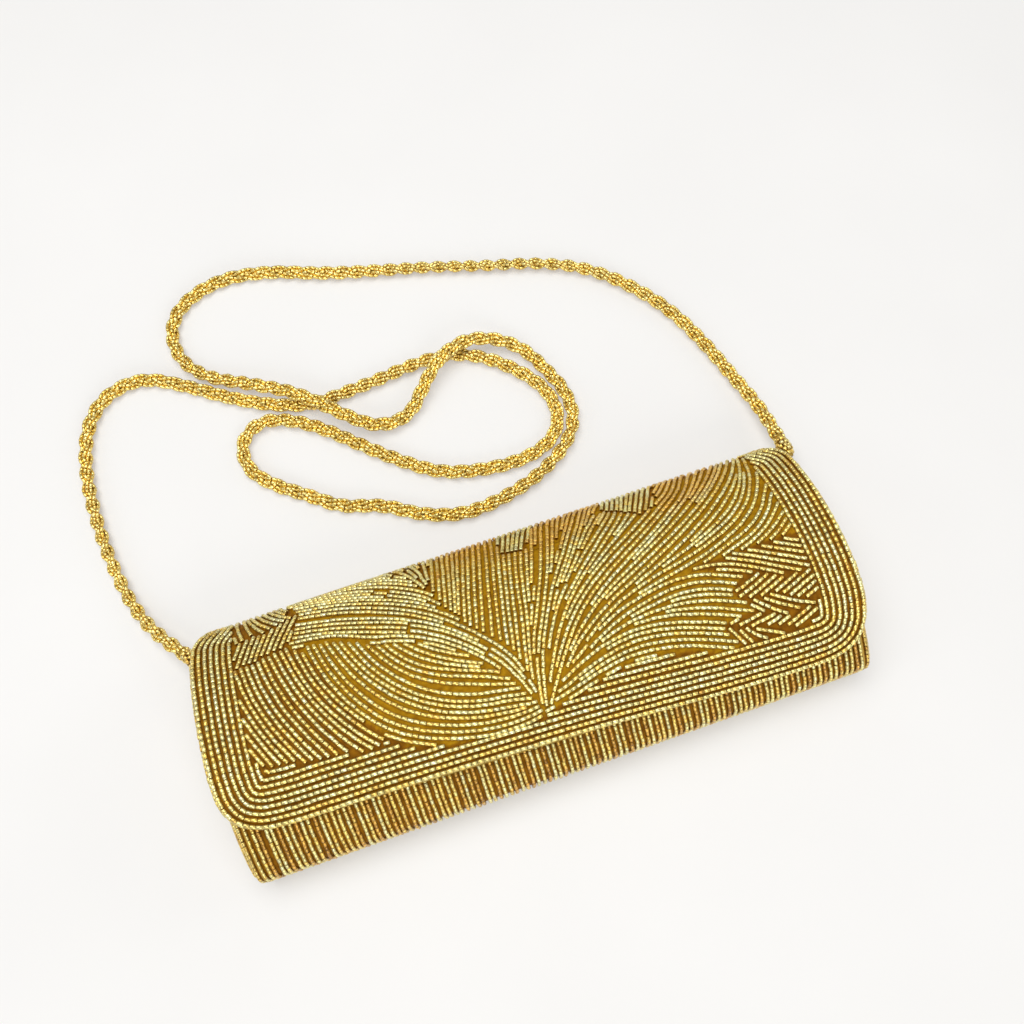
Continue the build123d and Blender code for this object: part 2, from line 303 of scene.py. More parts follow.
# colours for the beads' holes and for the painted shade on their sides
HOLE_AND_SIDE_SHADE_GOLD = (0.24, 0.12, 0.01)
STRAP_THREAD_AND_SIDE_SHADE = (0.60, 0.34, 0.02)
BEAD_GOLD = bead_glass("bead_gold", GOLD_SHADES, ORANGE, HOLE_AND_SIDE_SHADE_GOLD, 0.22)
BEAD_STRAP = bead_glass("bead_strap", STRAP_SHADES, ORANGE, STRAP_THREAD_AND_SIDE_SHADE, 0.2)
GROUND = sewn_ground()
EDGE_SATIN = satin("edge_satin", (0.26, 0.15, 0.012), (0.50, 0.32, 0.05), 0.1)
LINING_SATIN = satin("lining_satin", (0.46, 0.29, 0.07), (0.68, 0.48, 0.17), 0.2)
BRASS = plated_brass()
BOARD = bag_board()
# a sheet's materials: its outer side, its inner side and its rim
BEAD_COVER = [GROUND, LINING_SATIN, EDGE_SATIN]
ALL_SATIN = [LINING_SATIN, LINING_SATIN, EDGE_SATIN]

# ---------------------------------------------------------------- meshes


def quad_mesh(name, points, quads, materials, slots=None, attributes=None, flat=None):
    """Object made of four-sided faces, from points in millimetres."""
    mesh = bpy.data.meshes.new(name)
    mesh.vertices.add(len(points))
    mesh.vertices.foreach_set("co", (np.asarray(points) * MM).astype(np.float32).ravel())
    mesh.loops.add(4 * len(quads))
    mesh.loops.foreach_set("vertex_index", np.asarray(quads, np.int32).ravel())
    mesh.polygons.add(len(quads))
    mesh.polygons.foreach_set("loop_start", np.arange(0, 4 * len(quads), 4, dtype=np.int32))
    for material in materials:
        mesh.materials.append(material)
    if slots is not None:
        mesh.polygons.foreach_set("material_index", np.asarray(slots, np.int32))
    rounded = np.ones(len(quads), bool) if flat is None else ~flat
    mesh.polygons.foreach_set("use_smooth", rounded)
    mesh.update(calc_edges=True)
    for key, values in (attributes or {}).items():
        layer = mesh.attributes.new(key, "FLOAT", "POINT")
        layer.data.foreach_set("value", np.asarray(values, np.float32))
    mesh.validate()
    made = bpy.data.objects.new(name, mesh)
    bpy.context.scene.collection.objects.link(made)
    return made


def grid_quads(rows, columns, start=0, flip=False):
    corner = start + np.arange(rows - 1)[:, None] * columns + np.arange(columns - 1)[None]
    quads = np.stack([corner, corner + 1, corner + columns + 1, corner + columns], -1).reshape(-1, 4)
    return quads[:, ::-1] if flip else quads


def tube_quads(rings, sides):
    """Faces of a tube made of rings of points, with both ends closed."""
    step = np.arange(sides)
    after = (step + 1) % sides
    ring = np.arange(rings - 1)[:, None] * sides
    corners = (ring + step, ring + after, ring + sides + after, ring + sides + step)
    cap = np.array([(0, i, i + 1, i + 2) for i in range(1, sides - 2, 2)])
    return np.concatenate([np.stack(corners, -1).reshape(-1, 4), cap[:, ::-1], cap + (rings - 1) * sides])


def shell(name, top, bottom, materials, attributes=None):
    """Closed sheet between two grids of points. Its materials are for top, bottom and rim."""
    rows, columns = top.shape[:2]
    count = rows * columns
    index = np.arange(count).reshape(rows, columns)
    border = np.concatenate([index[0], index[1:, -1], index[-1, -2::-1], index[-2:0:-1, 0]])
    following = np.roll(border, -1)
    rim = np.stack([border, border + count, following + count, following], 1)
    upper = grid_quads(rows, columns)
    lower = grid_quads(rows, columns, count, flip=True)
    quads = np.concatenate([upper, lower, rim])
    slots = np.repeat([0, 1, 2], [len(upper), len(lower), len(rim)])
    doubled = {key: np.tile(np.ravel(value), 2) for key, value in (attributes or {}).items()}
    points = np.concatenate([top.reshape(-1, 3), bottom.reshape(-1, 3)])
    flat = slots == 2
    return quad_mesh(name, points, quads, materials, slots, doubled, flat)


def roll(name, path, side, up, width, height, material, sides=10):
    """Rounded cord or binding swept along a path. side and up are its unit vectors, or one per point."""
    turn = np.linspace(0, 2 * np.pi, sides, endpoint=False)[:, None]
    across = np.cos(turn) * width * side[..., None, :]
    above = np.sin(turn) * height * up[..., None, :]
    points = (path[:, None] + across + above).reshape(-1, 3)
    return quad_mesh(name, points, tube_quads(len(path), sides)[:, ::-1], [material])


BEAD_SIDES = 8
# painted shade: a bead's sides are painted darker than its lit top
SIDE_SHADE = 0.3            # how much darker a bead is beside its lit top
# a bead's rings: places along it as shares of its length, and shares of its radius
BEAD_RINGS = np.array([(-0.5, 0.74), (-0.45, 1.0), (0.45, 1.0), (0.5, 0.74)])
SLIM_RINGS = np.array([(-0.5, 0.7), (-0.4, 1.0), (0.4, 1.0), (0.5, 0.7)])
ROUND_RINGS = np.array([(-0.5, 0.5), (-0.3, 0.9), (0, 1.0), (0.3, 0.9), (0.5, 0.5)])


def bead_mesh(name, beads, material, radius, rings=BEAD_RINGS, sides=BEAD_SIDES):
    """All the beads of one field as one mesh. Each bead is a short tube with rounded ends."""
    centres, along, up, lengths, tones, warmth = beads
    across = np.cross(along, up)
    turn = np.linspace(0, 2 * np.pi, sides, endpoint=False) + np.pi / sides
    ring_shift = rings[:, 0][None, :, None, None] * lengths[:, None, None, None]
    ring_radius = rings[:, 1][None, :, None, None] * radius
    circle = (
        across[:, None, None] * np.cos(turn)[None, None, :, None]
        + up[:, None, None] * np.sin(turn)[None, None, :, None]
    )
    points = centres[:, None, None] + along[:, None, None] * ring_shift + circle * ring_radius
    per_bead = len(rings) * sides
    quads = tube_quads(len(rings), sides) + (np.arange(len(centres)) * per_bead)[:, None, None]
    # painted shade on each bead's sides, darker the further from its top; both ends stay fully dark for the
    # holes
    ends = spread(SIDE_SHADE * np.clip((0.9 - np.sin(turn)) / 0.6, 0, 1), len(rings))
    ends[[0, -1]] = 1
    attributes = {
        "tone": np.repeat(np.clip(tones, 0, 1), per_bead),
        "warm": np.repeat(warmth, per_bead),
        "end": np.tile(ends.ravel(), len(centres)),
    }
    return quad_mesh(name, points.reshape(-1, 3), quads.reshape(-1, 4), [material], attributes=attributes)


# ---------------------------------------------------------------- the bag's section

CREST_HEIGHT = 40.0
FRONT_RADIUS = 66.0
FOLD_RADIUS = 12.0
HALF_HEIGHT = 47.2
FLAP_DROP = 5.0
BEAD_LAYER = 2.1
BOARD_THICKNESS = 1.6
LINING_THICKNESS = 0.5
STIFFENER = 1.0
CORNER_RADIUS = 8.0
BACK_CORNER_RADIUS = 6.0
MOUTH_Y = 27.0
MOUTH_BACK_Y = 31.5
PANEL_HALF = 115.2
BOARD_HALF = 113.6

FOLD_CENTRE = (HALF_HEIGHT - FOLD_RADIUS, FOLD_RADIUS)
CENTRE_DROP = FOLD_RADIUS + FRONT_RADIUS - CREST_HEIGHT
FOLD_REACH = math.sqrt((FRONT_RADIUS - FOLD_RADIUS) ** 2 - CENTRE_DROP**2)
FRONT_CENTRE = (FOLD_CENTRE[0] - FOLD_REACH, CREST_HEIGHT - FRONT_RADIUS)
FOLD_JOIN = math.degrees(math.atan2(CENTRE_DROP, FOLD_REACH))
BODY_RADIUS = FRONT_RADIUS - FLAP_DROP
WALL = BEAD_LAYER + BOARD_THICKNESS
CORNER_RUN = -HALF_HEIGHT + CORNER_RADIUS - FRONT_CENTRE[0]
CORNER_RISE = math.sqrt((BODY_RADIUS - CORNER_RADIUS) ** 2 - CORNER_RUN**2)
CORNER_CENTRE = (-HALF_HEIGHT + CORNER_RADIUS, FRONT_CENTRE[1] + CORNER_RISE)
CORNER_ANGLE = math.degrees(math.atan2(CORNER_RISE, CORNER_RUN))
BACK_CORNER_CENTRE = (-HALF_HEIGHT + BACK_CORNER_RADIUS, BACK_CORNER_RADIUS)
BOARD_RADIUS = BODY_RADIUS - BEAD_LAYER
MOUTH_ANGLE = math.degrees(math.acos((MOUTH_Y - FRONT_CENTRE[0]) / BOARD_RADIUS))
FLAP_INSIDE = BEAD_LAYER + STIFFENER + LINING_THICKNESS


def arc(centre, radius, start, end):
    steps = max(4, int(abs(end - start) * radius / 20))
    turn = np.radians(np.linspace(start, end, steps))
    return np.stack([centre[0] + radius * np.cos(turn), centre[1] + radius * np.sin(turn)], 1)


class Section:
    """A line in the YZ plane, followed by its length. Its outer side is on the right."""

    def __init__(self, *stretches):
        points = np.concatenate(stretches)
        steps = np.linalg.norm(np.diff(points, axis=0), axis=1)
        keep = np.r_[True, steps > 1e-6]
        self.points = points[keep]
        self.run = np.r_[0, np.cumsum(steps[steps > 1e-6])]
        self.tangents = unit(np.gradient(self.points, self.run, axis=0))

    def measure_from(self, y, after=0.0):
        """Makes the section's zero the place with this y, at or after a length."""
        miss = np.abs(self.points[:, 0] - y) + 1e3 * (self.run < after)
        self.run = self.run - self.run[np.argmin(miss)]
        return self

    def at(self, x, s, lift=0.0):
        """Points, outward normals and section tangents at x and length s, moved out by lift."""
        tangent = unit(np.stack([np.interp(s, self.run, self.tangents[:, i]) for i in (0, 1)], -1))
        flat = np.stack([np.interp(s, self.run, self.points[:, i]) for i in (0, 1)], -1)
        normal = np.stack([tangent[..., 1], -tangent[..., 0]], -1)
        lift = np.asarray(lift)[..., None] if np.ndim(lift) else lift
        flat = flat + normal * lift
        zero = np.zeros_like(flat[..., :1])
        x = np.broadcast_to(x, flat.shape[:-1])[..., None]
        point = np.concatenate([x, flat], -1)
        return point, np.concatenate([zero, normal], -1), np.concatenate([zero, tangent], -1)


# the flap's outer side from the back of the fold to its front edge, zero at the crest
flap_section = Section(
    arc(FOLD_CENTRE, FOLD_RADIUS, -90, FOLD_JOIN),
    arc(FRONT_CENTRE, FRONT_RADIUS, FOLD_JOIN, 135),
).measure_from(FRONT_CENTRE[0], after=30)
FOLD_START = flap_section.run[0]


def body_line(inset, start=MOUTH_ANGLE):
    """The body's wrap from the mouth, over front, base and back, moved in by inset."""
    return Section(
        arc(FRONT_CENTRE, BODY_RADIUS - inset, start, CORNER_ANGLE),
        arc(CORNER_CENTRE, CORNER_RADIUS - inset, CORNER_ANGLE, 180),
        arc(BACK_CORNER_CENTRE, BACK_CORNER_RADIUS - inset, 180, 270),
        np.array([(y, inset) for y in np.arange(-40, FOLD_CENTRE[0], 2)]),
        np.array([(FOLD_CENTRE[0], inset)]),
    )


# ---------------------------------------------------------------- bead rows

BEAD_RADIUS = 0.73
RIM_BEAD_RADIUS = 0.72       # for the row turned under the flap's edge
BEAD_LENGTH = 2.25
ROW_PITCH = 2.16
GROUND_DEPTH = 1.35          # from the beads' tops down to the satin


def smooth(points, step=0.5):
    """Rounded line through the points, with a point every step."""
    p = np.asarray(points, float)
    p = np.concatenate([[2 * p[0] - p[1]], p, [2 * p[-1] - p[-2]]])
    out = []
    for a, b, c, d in zip(p, p[1:], p[2:], p[3:]):
        t = np.linspace(0, 1, 12, endpoint=False)[:, None]
        bend = (2 * a - 5 * b + 4 * c - d) * t**2 + (3 * b - a - 3 * c + d) * t**3
        out.append(b + 0.5 * (c - a) * t + 0.5 * bend)
    return resample(np.concatenate([*out, p[-2:-1]]), step)


def resample(line, step):
    run = lengths_along(line)
    count = max(2, int(round(run[-1] / step)) + 1)
    places = np.linspace(0, run[-1], count)
    return np.stack([np.interp(places, run, line[:, i]) for i in range(line.shape[1])], 1)


def inside(points, outline):
    """Which points are inside a closed outline."""
    x, y = points[:, 0], points[:, 1]
    hit = np.zeros(len(points), bool)
    for (x0, y0), (x1, y1) in zip(outline, np.roll(outline, -1, axis=0)):
        if y0 != y1:
            crosses = (y0 > y) != (y1 > y)
            hit ^= crosses & (x < x0 + (y - y0) * (x1 - x0) / (y1 - y0))
    return hit


def distance_to(points, line, closed=True):
    """Distance from each point to a line."""
    after = np.roll(line, -1, axis=0) if closed else line[1:]
    before = line if closed else line[:-1]
    nearest = np.full(len(points), 1e9)
    for a, b in zip(before, after):
        d = b - a
        t = np.clip(((points - a) @ d) / max(d @ d, 1e-12), 0, 1)
        nearest = np.minimum(nearest, np.linalg.norm(points - a - t[:, None] * d, axis=1))
    return nearest


def offset_rows(line, first, pitch, count):
    """Rows that follow a line at growing distances on its right."""
    tangent = unit(np.gradient(line, axis=0))
    normal = np.stack([tangent[:, 1], -tangent[:, 0]], 1)
    lines = []
    for away in first + pitch * np.arange(count):
        moved = line + normal * away
        lines.append(moved[distance_to(moved, line, closed=False) > away - 0.05])
    return lines


class RowPlan:
    """Rows in the flat that never come too close to each other."""

    CELL = 2.5                   # wider than any distance that is asked for
    STEP = 0.4
    STOP_SHARE = (0.62, 0.67)    # of the pitch: a row ends where its neighbour is nearer than this
    START_SHARE = 0.82           # of the pitch: a row starts no nearer than this
    FIELD_GAP = 1.2              # between rows of different fields
    SHORTEST = 9                 # steps

    def __init__(self):
        self.cells = {}
        self.rows = []

    def crowded(self, p, field, same, other):
        """Whether a row of this field is nearer than same, or one of another nearer than other."""
        cx, cy = int(p[0] // self.CELL), int(p[1] // self.CELL)
        for ix in (cx - 1, cx, cx + 1):
            for iy in (cy - 1, cy, cy + 1):
                for x, y, owner in self.cells.get((ix, iy), ()):
                    reach = same if owner == field else other
                    if (p[0] - x) ** 2 + (p[1] - y) ** 2 < reach * reach:
                        return True
        return False

    def add(self, line, field):
        self.rows.append((line, field))
        for x, y in line:
            self.cells.setdefault((int(x // self.CELL), int(y // self.CELL)), []).append((x, y, field))

    def add_clipped(self, line, allowed, field):
        """Adds the stretches of a line that are allowed."""
        fine = resample(line, self.STEP)
        keep = allowed(fine)
        edges = np.flatnonzero(np.diff(np.r_[False, keep, False].astype(int)))
        for begin, end in zip(edges[::2], edges[1::2]):
            if end - begin > 4:
                self.add(fine[begin:end], field)

    def fill(self, field, allowed, guides, places, pitch):
        """Fills a field with rows that run like its guides, from the first guide to all places."""
        lines = [smooth(guide, 2.0) for guide in guides]
        spots = np.concatenate(lines)
        ways = unit(np.concatenate([np.gradient(line, axis=0) for line in lines]))

        def way(p):
            weight = 1 / (np.sum((spots - p) ** 2, axis=1) + 6) ** 2
            mean = weight @ ways
            return mean / np.hypot(*mean)

        def trace(start, sign):
            path = []
            p = start
            closest = random.uniform(*self.STOP_SHARE) * pitch
            while len(path) < 800:
                p = p + sign * self.STEP * way(p)
                if not allowed(p) or self.crowded(p, field, closest, self.FIELD_GAP):
                    break
                path.append(p)
            return path

        queue = list(lines[0][::2])
        spare = list(places)
        while queue or spare:
            start = queue.pop(0) if queue else spare.pop(0)
            apart = self.START_SHARE * pitch
            if not allowed(start) or self.crowded(start, field, apart, self.FIELD_GAP + 0.05):
                continue
            row = np.array(trace(start, -1)[::-1] + [start] + trace(start, 1))
            if len(row) < self.SHORTEST:
                continue
            self.add(row, field)
            step = unit(np.gradient(row, axis=0))
            beside = np.stack([step[:, 1], -step[:, 0]], 1) * pitch
            for place, away in zip(row[::4], beside[::4]):
                queue += [place + away, place - away]

    def join_ends(self, reach=2.8, straightness=0.93):
        """Joins rows of one field that end head to head, so that no break shows."""
        rows = list(self.rows)
        number = 0
        while number < len(rows):
            line, field = rows[number]
            ahead = line[-1] - line[-5]
            for other, owner in rows:
                gap = other[0] - line[-1]
                length = np.hypot(*gap)
                if owner != field or other is line or length > reach:
                    continue
                onward = other[4] - other[0]
                if min(gap @ ahead, gap @ onward) > straightness * length * np.hypot(*ahead):
                    rows = [pair for pair in rows if pair[0] is not line and pair[0] is not other]
                    rows.append((np.concatenate([line, other]), field))
                    number -= 1
                    break
            number += 1
        self.rows = rows


class Beads:
    """Beads threaded on rows in the flat. They lie a little unevenly, as sewn by hand."""

    OVERHANG = 0.9               # how much longer than its line a row of beads is
    GAP = 0.06
    SLIP = 0.05                  # along the row
    ROW_WANDER = 0.06            # across the row, for all of it and for each bead
    WANDER = 0.05
    TURN = 0.03
    LIFT = 0.04
    ROW_TONE = 0.05
    TONE = 0.09

    def __init__(self):
        self.parts = []

    def thread(self, line, field, tone, length):
        run = lengths_along(line)
        count = max(1, int(round((run[-1] + self.OVERHANG) / length)))
        places = (np.arange(count) + 0.5) * run[-1] / count + random.normal(0, self.SLIP, count)
        ahead = np.stack([np.interp(places + 0.5, run, line[:, i]) for i in (0, 1)], 1)
        behind = np.stack([np.interp(places - 0.5, run, line[:, i]) for i in (0, 1)], 1)
        angle = np.arctan2(*(ahead - behind).T[::-1])
        wander = random.normal(0, self.ROW_WANDER) + random.normal(0, self.WANDER, count)
        middle = (ahead + behind) / 2 + np.stack([-np.sin(angle), np.cos(angle)], 1) * wander[:, None]
        angle = angle + random.normal(0, self.TURN, count)
        lengths = (length - self.GAP) * random.uniform(0.94, 1.02, count)
        tones = tone + random.normal(0, self.ROW_TONE) + random.normal(0, self.TONE, count)
        self.parts.append([middle, angle, lengths, tones, np.full(count, field)])

    def finish(self):
        parts = [np.concatenate(values) for values in zip(*self.parts)]
        self.flat, self.angle, self.lengths, self.tones, self.fields = parts

    def laid(self, section, pick, radius, warmth=None, sink=0.0):
        """The picked beads laid on a section, ready for bead_mesh."""
        flat = self.flat[pick]
        angle = self.angle[pick][:, None]
        lift = -radius - sink + random.normal(0, self.LIFT, len(flat))
        centre, normal, tangent = section.at(flat[:, 0], flat[:, 1], lift)
        along = X_AXIS * np.cos(angle) + tangent * np.sin(angle)
        warm = np.zeros(len(flat)) if warmth is None else warmth(flat)
        return centre, along, normal, self.lengths[pick], self.tones[pick], warm


# ---------------------------------------------------------------- the flap's pattern
# Points are (x, s): x along the bag, s from the crest down to the front edge.

FOLD_EDGE = [
    (120, FOLD_START), (119.3, -76), (117.4, -71), (114, -65.5), (112.8, -61.6), (114, -57.5),
    (117.4, -52.2), (119.2, -48), (119.8, -42), (119.8, -20),
]
FLAP_EDGE = [
    *[(-x, s) for x, s in FOLD_EDGE],
    (-120, 0), (-120, 9.5), (-119.1, 17.8), (-115.6, 24.5), (-108.6, 28.8), (-98.5, 30.4),
    (-85, 30.9), (-60, 31.6), (-40, 32.4), (-20, 33.4), (0, 34.4), (20, 35.7), (40, 37.3),
    (60, 38.9), (80, 40.1), (95, 40.6), (104.5, 39.9), (112, 36.6), (117, 30), (119.4, 20),
    (120, 7),
    *FOLD_EDGE[::-1],
]
EDGE_LINE = smooth(FLAP_EDGE, 1.0)

# where the border's rows stop
FIELD_BACK = -64
FIELD = [
    (-103.5, FIELD_BACK), (-103.5, -20), (-104.5, -6), (-104, 4), (-101, 9.5), (-90, 11.3),
    (-80, 13), (-68, 15), (-58, 14.5), (-52, 18.5), (-40, 22.3), (-28, 24.5),
    (-15, 25.3), (-5, 24.2), (3, 22.2), (12, 20.5), (22, 17.5), (32, 16.3), (42, 17.3),
    (52, 19.3), (60, 22.5), (66, 24.5), (95, 24.5), (101, 21), (104, 12), (104.8, 0),
    (104.8, FIELD_BACK),
]

# each region's beads' tone, its outline, and the lines that its rows run like
REGIONS = {
    "notch_left": (
        0.8,
        [(-43, -64), (-26, -64), (-26.6, -48), (-28, -36.5), (-30.5, -38), (-34.5, -46), (-39.5, -54)],
        [(-48, -62), (-39, -52), (-31, -40)],
        [(-37, -62), (-33, -52), (-30, -42)],
        [(-26, -62), (-27, -50), (-28.5, -38)],
    ),
    "notch_middle": (
        0.85,
        [(1, -64), (17.5, -64), (14, -50), (10, -41), (0.5, -43)],
        [(4, -64), (1, -50), (-2, -40)],
        [(19, -64), (15, -50), (11, -39)],
    ),
    "notch_right": (
        0.8,
        [(44, -64), (69, -64), (64, -48), (61, -41), (56, -39), (50, -44), (43, -49)],
        [(45, -64), (43, -55), (39, -45)],
        [(71, -64), (66, -50), (60, -37)],
    ),
    "petal_low_left": (
        0.76,
        [(-80, -29.5), (-70, -28.2), (-60, -24.3), (-54, -20.3), (-44, -17.8), (-38, -15.3), (-30, -10.3),
         (-21, -3.8), (-14, 4.2), (-9, 11.2), (-5.5, 17.7), (-4.5, 21.5), (-1, 22.5), (-6, 24.2),
         (-15, 25.3), (-28, 24.5), (-40, 22.3), (-50, 18.8), (-58, 12.6), (-66, 2), (-71, -8), (-75, -20)],
        [(-77, -30), (-74, -18), (-70, -8), (-64, 2), (-57, 10), (-48, 16), (-37, 20.5), (-25, 23.6),
         (-12, 24.5), (-2, 23)],
        [(-63, -27), (-58, -15), (-52, -6), (-44, 2), (-34, 8), (-23, 11.5), (-13, 13), (-6, 14.5)],
        [(-52, -21), (-47, -13), (-41, -7), (-33, -2.5), (-25, 0.5), (-18, 3), (-13, 5.5)],
        [(-43, -17.5), (-38, -12.5), (-32, -8), (-26, -4.5), (-21, -2)],
    ),
    "petal_top_left": (
        0.82,
        [(-84, -31.5), (-81, -36), (-79, -43), (-78, -48), (-82, -55), (-84, -64), (-40, -64), (-38, -56),
         (-34, -47), (-31, -40), (-28.5, -33), (-25.5, -26), (-22, -18.5), (-15.5, -11), (-10.5, -6),
         (-6.5, 0), (-5, 8), (-4.5, 16), (-5.5, 18), (-9, 11), (-14, 4), (-21, -4), (-30, -10.5),
         (-38, -15.5), (-44, -18), (-54, -20.5), (-60, -24.5), (-70, -28.5), (-80, -30)],
        [(-82, -30.8), (-72, -29.6), (-63, -26.3), (-55, -21.9), (-46, -19.4), (-38, -16), (-30, -11),
         (-22, -4.5), (-15, 3), (-10, 10), (-6, 17.5)],
        [(-82, -38), (-70, -35), (-60, -31.5), (-50, -27.5), (-40, -23), (-30, -17), (-21, -9.5), (-13, 0),
         (-8.5, 8), (-5.5, 16)],
        [(-80, -48), (-65, -44), (-52, -38.5), (-40, -32), (-30, -25), (-22, -17.5), (-14, -9), (-8, -1),
         (-5.5, 7), (-4.8, 14)],
        [(-84, -63), (-64, -56), (-50, -50), (-40, -44), (-30, -36), (-22, -26), (-14, -14)],
        [(-62, -72), (-50, -66), (-40, -59), (-32, -50)],
    ),
    "petal_centre": (
        0.72,
        [(-26.5, -64), (-26.8, -48), (-28, -38), (-27.5, -31), (-24.5, -25), (-21, -18), (-15, -10.5),
         (-9.5, -5.5), (-5.8, 0), (-4.3, 8), (-3.8, 16), (-4.2, 21.5), (-1.8, 20), (0.5, 15), (3, 8),
         (5, 1), (7, -6), (14, -14), (22, -22.5), (30, -30.5), (36, -38), (42, -46), (44, -64)],
        [(-22, -64), (-24, -45), (-27, -27), (-30, -15)],
        [(-8, -64), (-11, -45), (-15.5, -25), (-19, -10)],
        [(2, -64), (0, -45), (-4, -25), (-7.5, -8), (-9, 4)],
        [(11, -64), (7, -45), (3, -28), (0, -12), (-3, 2), (-4.6, 12), (-4.8, 21)],
        [(24, -64), (19, -45), (14, -28), (8, -13), (2, -1), (-1.5, 10), (-3.5, 21)],
        [(40, -64), (33, -47), (24, -31), (14, -17), (7, -5), (2, 6), (-2, 19)],
        [(56, -64), (46, -50), (36, -38), (26, -26), (16, -15)],
    ),
    "petal_top_right": (
        0.78,
        [(-1.5, 20), (0.8, 15), (3.2, 8), (5.2, 1), (7, -6), (14, -14), (22, -22.5), (30, -30.5),
         (36, -38), (42, -46), (44, -64), (104, -64), (104, -9.7), (70, -9.7), (60, -9), (48, -7.5),
         (38, -5.5), (31, -3.5), (25, -0.5), (19, 3), (13, 6.8), (8, 10.5), (3.5, 15.5), (0, 20)],
        [(-2, 20), (2, 9), (6.5, -1), (14, -13), (22, -21.5), (30, -29.5), (38, -37.5), (46, -47),
         (52, -62)],
        [(-1, 20), (5, 11), (12, 1), (20, -8), (30, -16), (42, -23.5), (54, -31), (64, -38.5), (73, -47),
         (80, -62)],
        [(1, 19.5), (8, 11.5), (16, 4), (26, -2.5), (38, -9), (52, -16), (66, -23.5), (79, -32), (90, -42),
         (98, -54), (101, -66)],
        [(35, -6), (48, -9), (62, -11.5), (75, -15), (87, -20.5), (96, -28.5), (102, -40), (105, -54)],
        [(78, -11), (90, -15), (98, -21), (104, -30)],
        [(92, -10), (99, -13.5), (105, -18.5)],
    ),
    "petal_low_right": (
        0.8,
        [(0.5, 20.6), (4, 16), (8.5, 11.3), (13.5, 7.5), (19.5, 3.7), (25.5, 0.3), (31.5, -2.7),
         (38, -4.7), (48, -6.7), (58, -8), (64, -8), (72, -4.5), (79, 0), (73, 4.5), (77, 9), (80, 13),
         (66, 14.3), (68, 19), (71, 24), (66, 24.3), (60, 22.3), (52, 19.2), (42, 17.2), (32, 16.2),
         (22, 17.4), (12, 20.2), (4, 21.8)],
        [(9, 11), (16, 6.3), (24, 1.5), (33, -2.5), (43, -5), (54, -6.5), (65, -5.5), (75, -1.5), (82, 2)],
        [(7, 14.5), (15, 11.5), (25, 9), (36, 8), (47, 9.5), (58, 13), (68, 17), (74, 20)],
        [(1, 21), (10, 19), (20, 16.8), (31, 15.3), (42, 16.3), (52, 18.8), (60, 22), (66, 24.5)],
    ),
    "ground_right": (
        0.72,
        [(62, -9), (104.3, -9), (104.3, 5.3), (99, 4.5), (92, 3.5), (85, 0), (79, -0.5), (72, -5)],
        [(62, -8.5), (74, -6.8), (84, -2), (94, 4), (104, 9.5)],
        [(84, -12.5), (94, -7), (104, -1.5), (108, 0.5)],
        [(94, -12.5), (106, -6)],
    ),
    "zigzag_1": (
        0.75,
        [(72.5, 5.2), (78, 1.5), (84, 0.3), (91, 4), (99, 5.2), (104.3, 5.6), (104.3, 15), (99, 14.5),
         (93, 12), (88, 9), (82, 8.5), (77, 7.5)],
        [(71, 5.6), (80, 3), (89, -0.5)],
        [(89, 14.5), (97, 11.5), (106, 8)],
    ),
    "zigzag_2": (
        0.75,
        [(71.5, 5.8), (77, 8), (83, 9), (88, 9.5), (93, 12.5), (99, 15), (104.3, 15.6), (103, 18),
         (95, 17.5), (88, 17.8), (84, 14.8), (79, 13.3), (74.5, 10)],
        [(71, 6), (76, 11), (81, 16)],
        [(89, 9.5), (96, 14), (105, 17.5)],
    ),
    "zigzag_3": (
        0.75,
        [(66, 15), (72, 13.8), (79, 13.7), (84, 15.3), (88, 18.3), (95, 18), (103, 18.5), (100, 22.5),
         (94, 24), (89, 22), (84, 19.5), (78, 18.2), (72, 16.5)],
        [(65, 15.2), (73, 13.6), (81, 12.4)],
        [(88, 24.8), (96, 22), (103, 19)],
    ),
    "zigzag_4": (
        0.75,
        [(65.5, 14.8), (70, 16.3), (76, 18.3), (83, 20), (89, 22.7), (93, 24.5), (70, 24.5), (68, 19.5)],
        [(64.8, 14), (68, 19.5), (71, 25)],
        [(82, 19.5), (87, 22), (93, 25.5)],
    ),
    "ground_left_low": (
        0.74,
        [(-103.5, -29), (-97, -29.5), (-90, -30.5), (-85, -31.6), (-80, -30), (-77.5, -29.7), (-75, -20),
         (-71, -8), (-66, 2), (-58, 12.6), (-52, 17), (-58, 14.3), (-68, 15), (-80, 12.8), (-90, 11),
         (-101, 9.3), (-104, 4), (-104.3, -6), (-103.5, -20)],
        [(-112, -14), (-108, -4), (-103, 7), (-100, 14)],
        [(-102, -28), (-100, -17), (-96.5, -6), (-92, 4), (-87, 13)],
        [(-79, -31), (-76, -19), (-72, -9), (-66, 1), (-59, 9.5), (-52, 16)],
    ),
    "ground_left_mid": (
        0.74,
        [(-103.5, -40), (-97, -43), (-91, -42), (-87, -44), (-80, -46.5), (-78.3, -47), (-79, -42),
         (-81.5, -36), (-84.5, -32), (-90, -30.8), (-97, -29.8), (-103.5, -29.3)],
        [(-99, -46), (-102, -38), (-106, -28)],
        [(-76, -48), (-80, -40), (-86, -28)],
    ),
    "ground_left_top": (
        0.74,
        [(-103.5, -64), (-84.5, -64), (-82.5, -55), (-79, -48.5), (-80, -46.8), (-87, -44.3), (-91, -42.3),
         (-97, -43.3), (-103.5, -40.3)],
        [(-104.5, -64), (-104, -52), (-101.5, -40)],
        [(-95, -64), (-92, -54), (-87, -47.5), (-81, -44)],
        [(-84, -64), (-82, -56), (-77, -49)],
    ),
}

